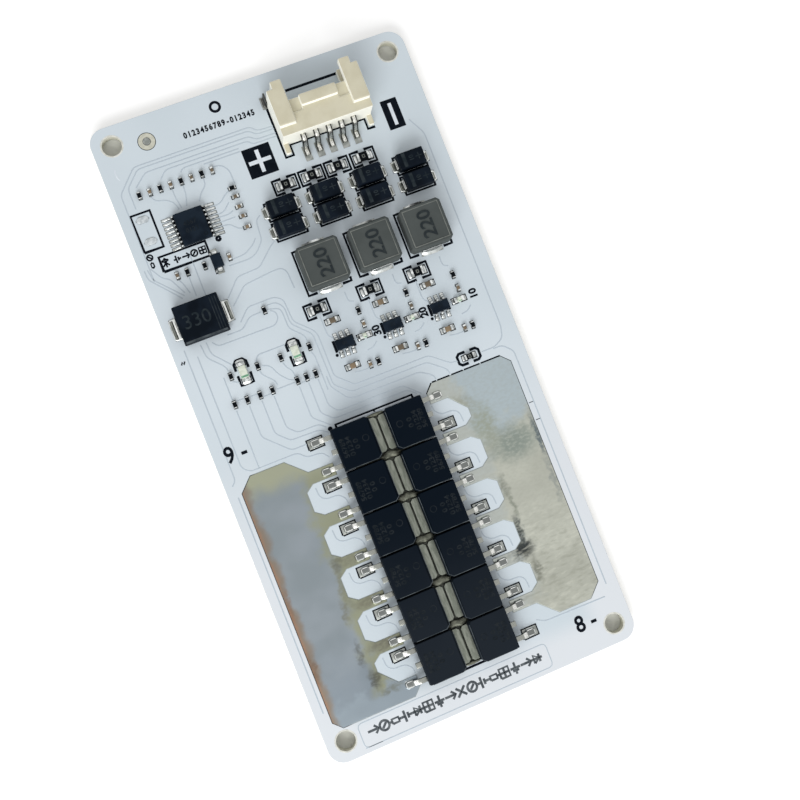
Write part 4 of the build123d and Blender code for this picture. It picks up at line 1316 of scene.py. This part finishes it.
# Black coats that overhang the resistors a little, and a small frame on the large ones
def makeResistorMarks():
    form, marks = bmesh.new(), bmesh.new()
    for x0, y0, x1, y1, z0, z1 in solidBoxes("large_resistors"):
        x, y = (x0 + x1) / 2, (y0 + y1) / 2
        top = z1 + 0.06
        addSlab(form, x0 - 0.06, y0 - 0.02, x1 + 0.06, y1 + 0.02, z1 - 0.02, top)
        addLines(marks, [rectangle(x - 0.17, y - 0.2, x + 0.17, y + 0.2)], 0.15, 0.01, top)
    caps = solidBoxes("chip_end_caps")
    for x0, y0, x1, y1, z0, z1 in solidBoxes("small_resistors"):
        x, y = (x0 + x1) / 2, (y0 + y1) / 2
        cap = nearest((x, y), caps)
        capX, capY = middleOf(cap)
        reachX, reachY = (0.13, 0.04) if abs(capX - x) > abs(capY - y) else (0.04, 0.13)
        addSlab(form, x0 - reachX, y0 - reachY, x1 + reachX, y1 + reachY, z1 - 0.02, cap[5] + 0.02)
    closePiece(form, "resistor_coats", "resistorGlaze")
    closePiece(marks, "resistor_marks", "pressedRim")


# A green strip across one end of each lamp
def makeLampTints():
    form = bmesh.new()
    for x0, y0, x1, y1, z0, z1 in solidBoxes("indicator_lamps"):
        tint = 0.16 * (y1 - y0)
        addSlab(form, x0 + 0.08, y0 + 0.06, x1 - 0.08, y0 + 0.06 + tint, z1 - 0.01, z1 + 0.006)
    closePiece(form, "lamp_tints", "lampTint")


makeInductors()
makeDiodes()
makeDiodeMarks()
makeChips()
makeChipMarks()
makeChipParts()
makeResistorMarks()
makeLampTints()
print("inductors, diodes, chips and small parts made")


# End caps: each foot spreads outwards from its own part. Pairs are for small parts and for larger ones
capJoint = {"smallBelow": 1.0, "spread": (0.12, 0.26), "reach": (0.02, 0.06), "outline": (0.04, 0.07)}


def solderCaps(form, rims):
    parts = ("large_resistors", "small_resistors", "ceramic_capacitors", "indicator_lamps")
    bodies = [box for node in parts for box in solidBoxes(node)]
    for cap in solidBoxes("chip_end_caps"):
        x, y = middleOf(cap)
        bodyX, bodyY = middleOf(nearest((x, y), bodies))
        acrossX, acrossY = bodyX - x, bodyY - y
        size = (cap[2] - cap[0]) + (cap[3] - cap[1])
        kind = 0 if size < capJoint["smallBelow"] else 1
        spread = capJoint["spread"][kind] * size
        foot = list(grow(cap, capJoint["reach"][kind]))
        if abs(acrossX) > abs(acrossY):
            foot[2 if acrossX < 0 else 0] -= math.copysign(spread, acrossX)
        else:
            foot[3 if acrossY < 0 else 1] -= math.copysign(spread, acrossY)
        addJoint(form, foot, grow(cap, -0.02), boardTop - 0.005, cap[4] + 0.75 * (cap[5] - boardTop))
        # a dark outline round each joint: painted shade
        addInk(rims, *grow(foot, capJoint["outline"][kind]), 0.012)


# Share of the lead's height that the solder climbs, and how far it reaches past its land
leadClimb = {
    "monitor_chip_leads": (0.2, -0.02),
    "balance_chip_leads": (0.25, 0.02),
    "cell_diode_straps": (0.3, 0.05),
    "supply_diode_straps": (0.2, 0.05),
    "inductor_straps": (0.35, 0.05),
}


def solderLeads(form, aprons, lands):
    for node, (share, reach) in leadClimb.items():
        target = aprons if "diode" in node else form
        for terminal in solidBoxes(node):
            top = padTop + share * (terminal[5] - padTop)
            for land in lands:
                seat = overlap(grow(terminal, 0.04), grow(land, -0.03))
                if seat:
                    addJoint(target, grow(land, reach), seat, padTop - 0.005, top)


# Painted shade between the fine leads of the chips
def makeLeadShade(lands):
    form = bmesh.new()
    chips = [planBox(node) for node in ["monitor_chip_body"] + balanceChips]
    for land in lands:
        x, y = middleOf(land)
        near = any(box[0] - 1.9 < x < box[2] + 1.9 and box[1] - 1.6 < y < box[3] + 1.6 for box in chips)
        if near and max(land[2] - land[0], land[3] - land[1]) < 2.0:
            addInk(form, *grow(land, 0.06), 0.012)
    closePiece(form, "lead_shade", "greyPrintAndShade")


# At each diode end a bar close to the case in a lighter tone, a painted highlight, then a flat apron with a
# raised lip; dark slabs round the apron and beside the bar are painted shade
diodeTrim = {
    "cell_diode_straps": {"apron": 0.8, "bar": (-0.3, 0.26), "barTop": 0.85},
    "supply_diode_straps": {"apron": 1.1, "bar": (0.12, 0.52), "barTop": 0.12},
}


def trimDiodes(aprons, rims):
    lipForm, bright = bmesh.new(), bmesh.new()
    bodies = [planBox(node) for node in cellDiodes + ["supply_diode_body"]]
    for node, trim in diodeTrim.items():
        lips = []
        for strap in solidBoxes(node):
            x0, y0, x1, y1, z0, z1 = strap
            body = nearest(middleOf(strap), bodies)
            away = 1 if middleOf(strap)[0] > middleOf(body)[0] else -1
            case = body[2] if away > 0 else body[0]
            tip = case + away * trim["apron"]
            low, high = sorted((case - away * 0.3, tip))
            addSlab(aprons, low, y0, high, y1, boardTop, padTop + 0.03)
            # painted shade round the apron
            addSlab(rims, low, y0 - 0.1, high + 0.06, y1 + 0.1, boardTop, boardTop + 0.014)
            low, high = sorted(case + away * offset for offset in trim["bar"])
            # painted highlight: the bar takes the lighter solder
            addSlab(bright, low, y0 + 0.02, high, y1 - 0.02, padTop, padTop + trim["barTop"])
            inner, outer, rim = case - away * 0.2, tip - away * 0.2, tip - away * 0.04
            lips.append([
                (inner, y1 - 0.04), (outer, y1 - 0.04), (rim, y1 - 0.2),
                (rim, y0 + 0.2), (outer, y0 + 0.04), (inner, y0 + 0.04),
            ])
            low, high = sorted(case + away * (trim["bar"][1] + offset) for offset in (0.01, 0.15))
            # painted shade beside the bright bar
            addSlab(rims, low, y0 + 0.1, high, y1 - 0.1, padTop, padTop + 0.05)
        addLines(lipForm, lips, 0.24, 0.07, padTop + 0.03)
    closePiece(lipForm, "diode_lips", "solder")
    closePiece(bright, "diode_solder", "highlightSolder")


def makeSmallSolder():
    form, rims, aprons = bmesh.new(), bmesh.new(), bmesh.new()
    lands = solidBoxes("signal_lands")
    solderCaps(form, rims)
    solderLeads(form, aprons, lands)
    closePiece(form, "small_solder", "solder")
    makeLeadShade(lands)
    trimDiodes(aprons, rims)
    closePiece(aprons, "diode_aprons", "apronSolder")
    closePiece(rims, "end_shade_outlines", "blackPrintAndShade")


makeSmallSolder()
print("small solder made")


# Camera, lights and floor
cameraLook = {
    # lens, place and turn were fitted to the holes, the edges and the tall parts
    "lens": 45.27,
    "place": (-16.0, -4.5, 150.0 + boardTop),
    "right": (0.92216, -0.36769, 0.12011),
    "down": (-0.36355, -0.92992, -0.05553),
}
studioLook = {
    "worldStrength": 0.6,
    "floor": (0.9, 0.9, 0.9, 1.0),
    "underBoardShade": tone(218, 219, 214),
    "floorLift": 0.3,
    "key": {"place": (-250, -460, 330), "size": (520, 360), "power": 3.1},
}


def makeCamera():
    data = bpy.data.cameras.new("camera")
    data.sensor_width = 36.0
    data.sensor_fit = "HORIZONTAL"
    data.lens = cameraLook["lens"]
    data.clip_start = 0.01
    data.clip_end = 10.0
    camera = bpy.data.objects.new("camera", data)
    bpy.context.scene.collection.objects.link(camera)
    right = Vector(cameraLook["right"]).normalized()
    down = Vector(cameraLook["down"]).normalized()
    ahead = right.cross(down)
    down = ahead.cross(right)
    turn = Matrix((right, -down, -ahead)).transposed().to_4x4()
    camera.matrix_world = Matrix.Translation(Vector(cameraLook["place"]) * mm) @ turn
    bpy.context.scene.camera = camera


def makeLight(name, place, size, power):
    data = bpy.data.lights.new(name, "AREA")
    data.shape = "RECTANGLE"
    data.size, data.size_y = size[0] * mm, size[1] * mm
    data.energy = power
    light = bpy.data.objects.new(name, data)
    bpy.context.scene.collection.objects.link(light)
    light.location = Vector(place) * mm
    light.rotation_mode = "QUATERNION"
    light.rotation_quaternion = (-Vector(place)).normalized().to_track_quat("-Z", "Y")


# 1 for what the eye sees straight, in a gloss or through glass
def eyeRays(tree):
    rays = addNode(tree, "ShaderNodeLightPath")
    seen = compute(tree, "MAXIMUM", rays.outputs["Is Camera Ray"], rays.outputs["Is Glossy Ray"])
    return compute(tree, "MAXIMUM", seen, rays.outputs["Is Transmission Ray"])


def makeWorld():
    world = bpy.data.worlds.new("studio")
    world.use_nodes = True
    bpy.context.scene.world = world
    tree = world.node_tree
    background = tree.nodes["Background"]
    strength = remap(tree, eyeRays(tree), 0.0, 1.0, studioLook["worldStrength"], 1.0)
    background.inputs["Color"].default_value = (1, 1, 1, 1)
    tree.links.new(strength, background.inputs["Strength"])


def makeFloor():
    material, tree, shader = newFinish("paleFloor", studioLook["floor"], 0.9, shine=0.1)
    shader.inputs["Emission Color"].default_value = (1, 1, 1, 1)
    # lifted to white around the board only, so that the mounting holes look down on shade; under the board
    # the floor is painted darker, painted shade
    x, y, z = splitVector(tree, objectCoords(tree))
    board = planBox("circuit_board")
    pastX = compute(tree, "SUBTRACT", compute(tree, "ABSOLUTE", x, 0.0), board[2] * mm)
    pastY = compute(tree, "SUBTRACT", compute(tree, "ABSOLUTE", y, 0.0), board[3] * mm)
    outside = remap(tree, compute(tree, "MAXIMUM", pastX, pastY), -1.0 * mm, -0.9 * mm)
    lift = compute(tree, "MULTIPLY", outside, studioLook["floorLift"])
    lift = compute(tree, "MULTIPLY", eyeRays(tree), lift)
    tree.links.new(lift, shader.inputs["Emission Strength"])
    # painted shade: darker floor under the board
    paint(tree, shader, blendColor(tree, outside, studioLook["underBoardShade"], studioLook["floor"]))
    form = bmesh.new()
    bmesh.ops.create_grid(form, x_segments=1, y_segments=1, size=3.0)
    mesh = bpy.data.meshes.new("floor")
    form.to_mesh(mesh)
    form.free()
    floor = bpy.data.objects.new("floor", mesh)
    floor.location.z = -0.02 * mm
    mesh.materials.append(material)
    bpy.context.scene.collection.objects.link(floor)


makeCamera()
makeWorld()
makeFloor()
makeLight("keySoftbox", **studioLook["key"])
bpy.context.scene.view_settings.view_transform = "Standard"
print("camera and lights made")
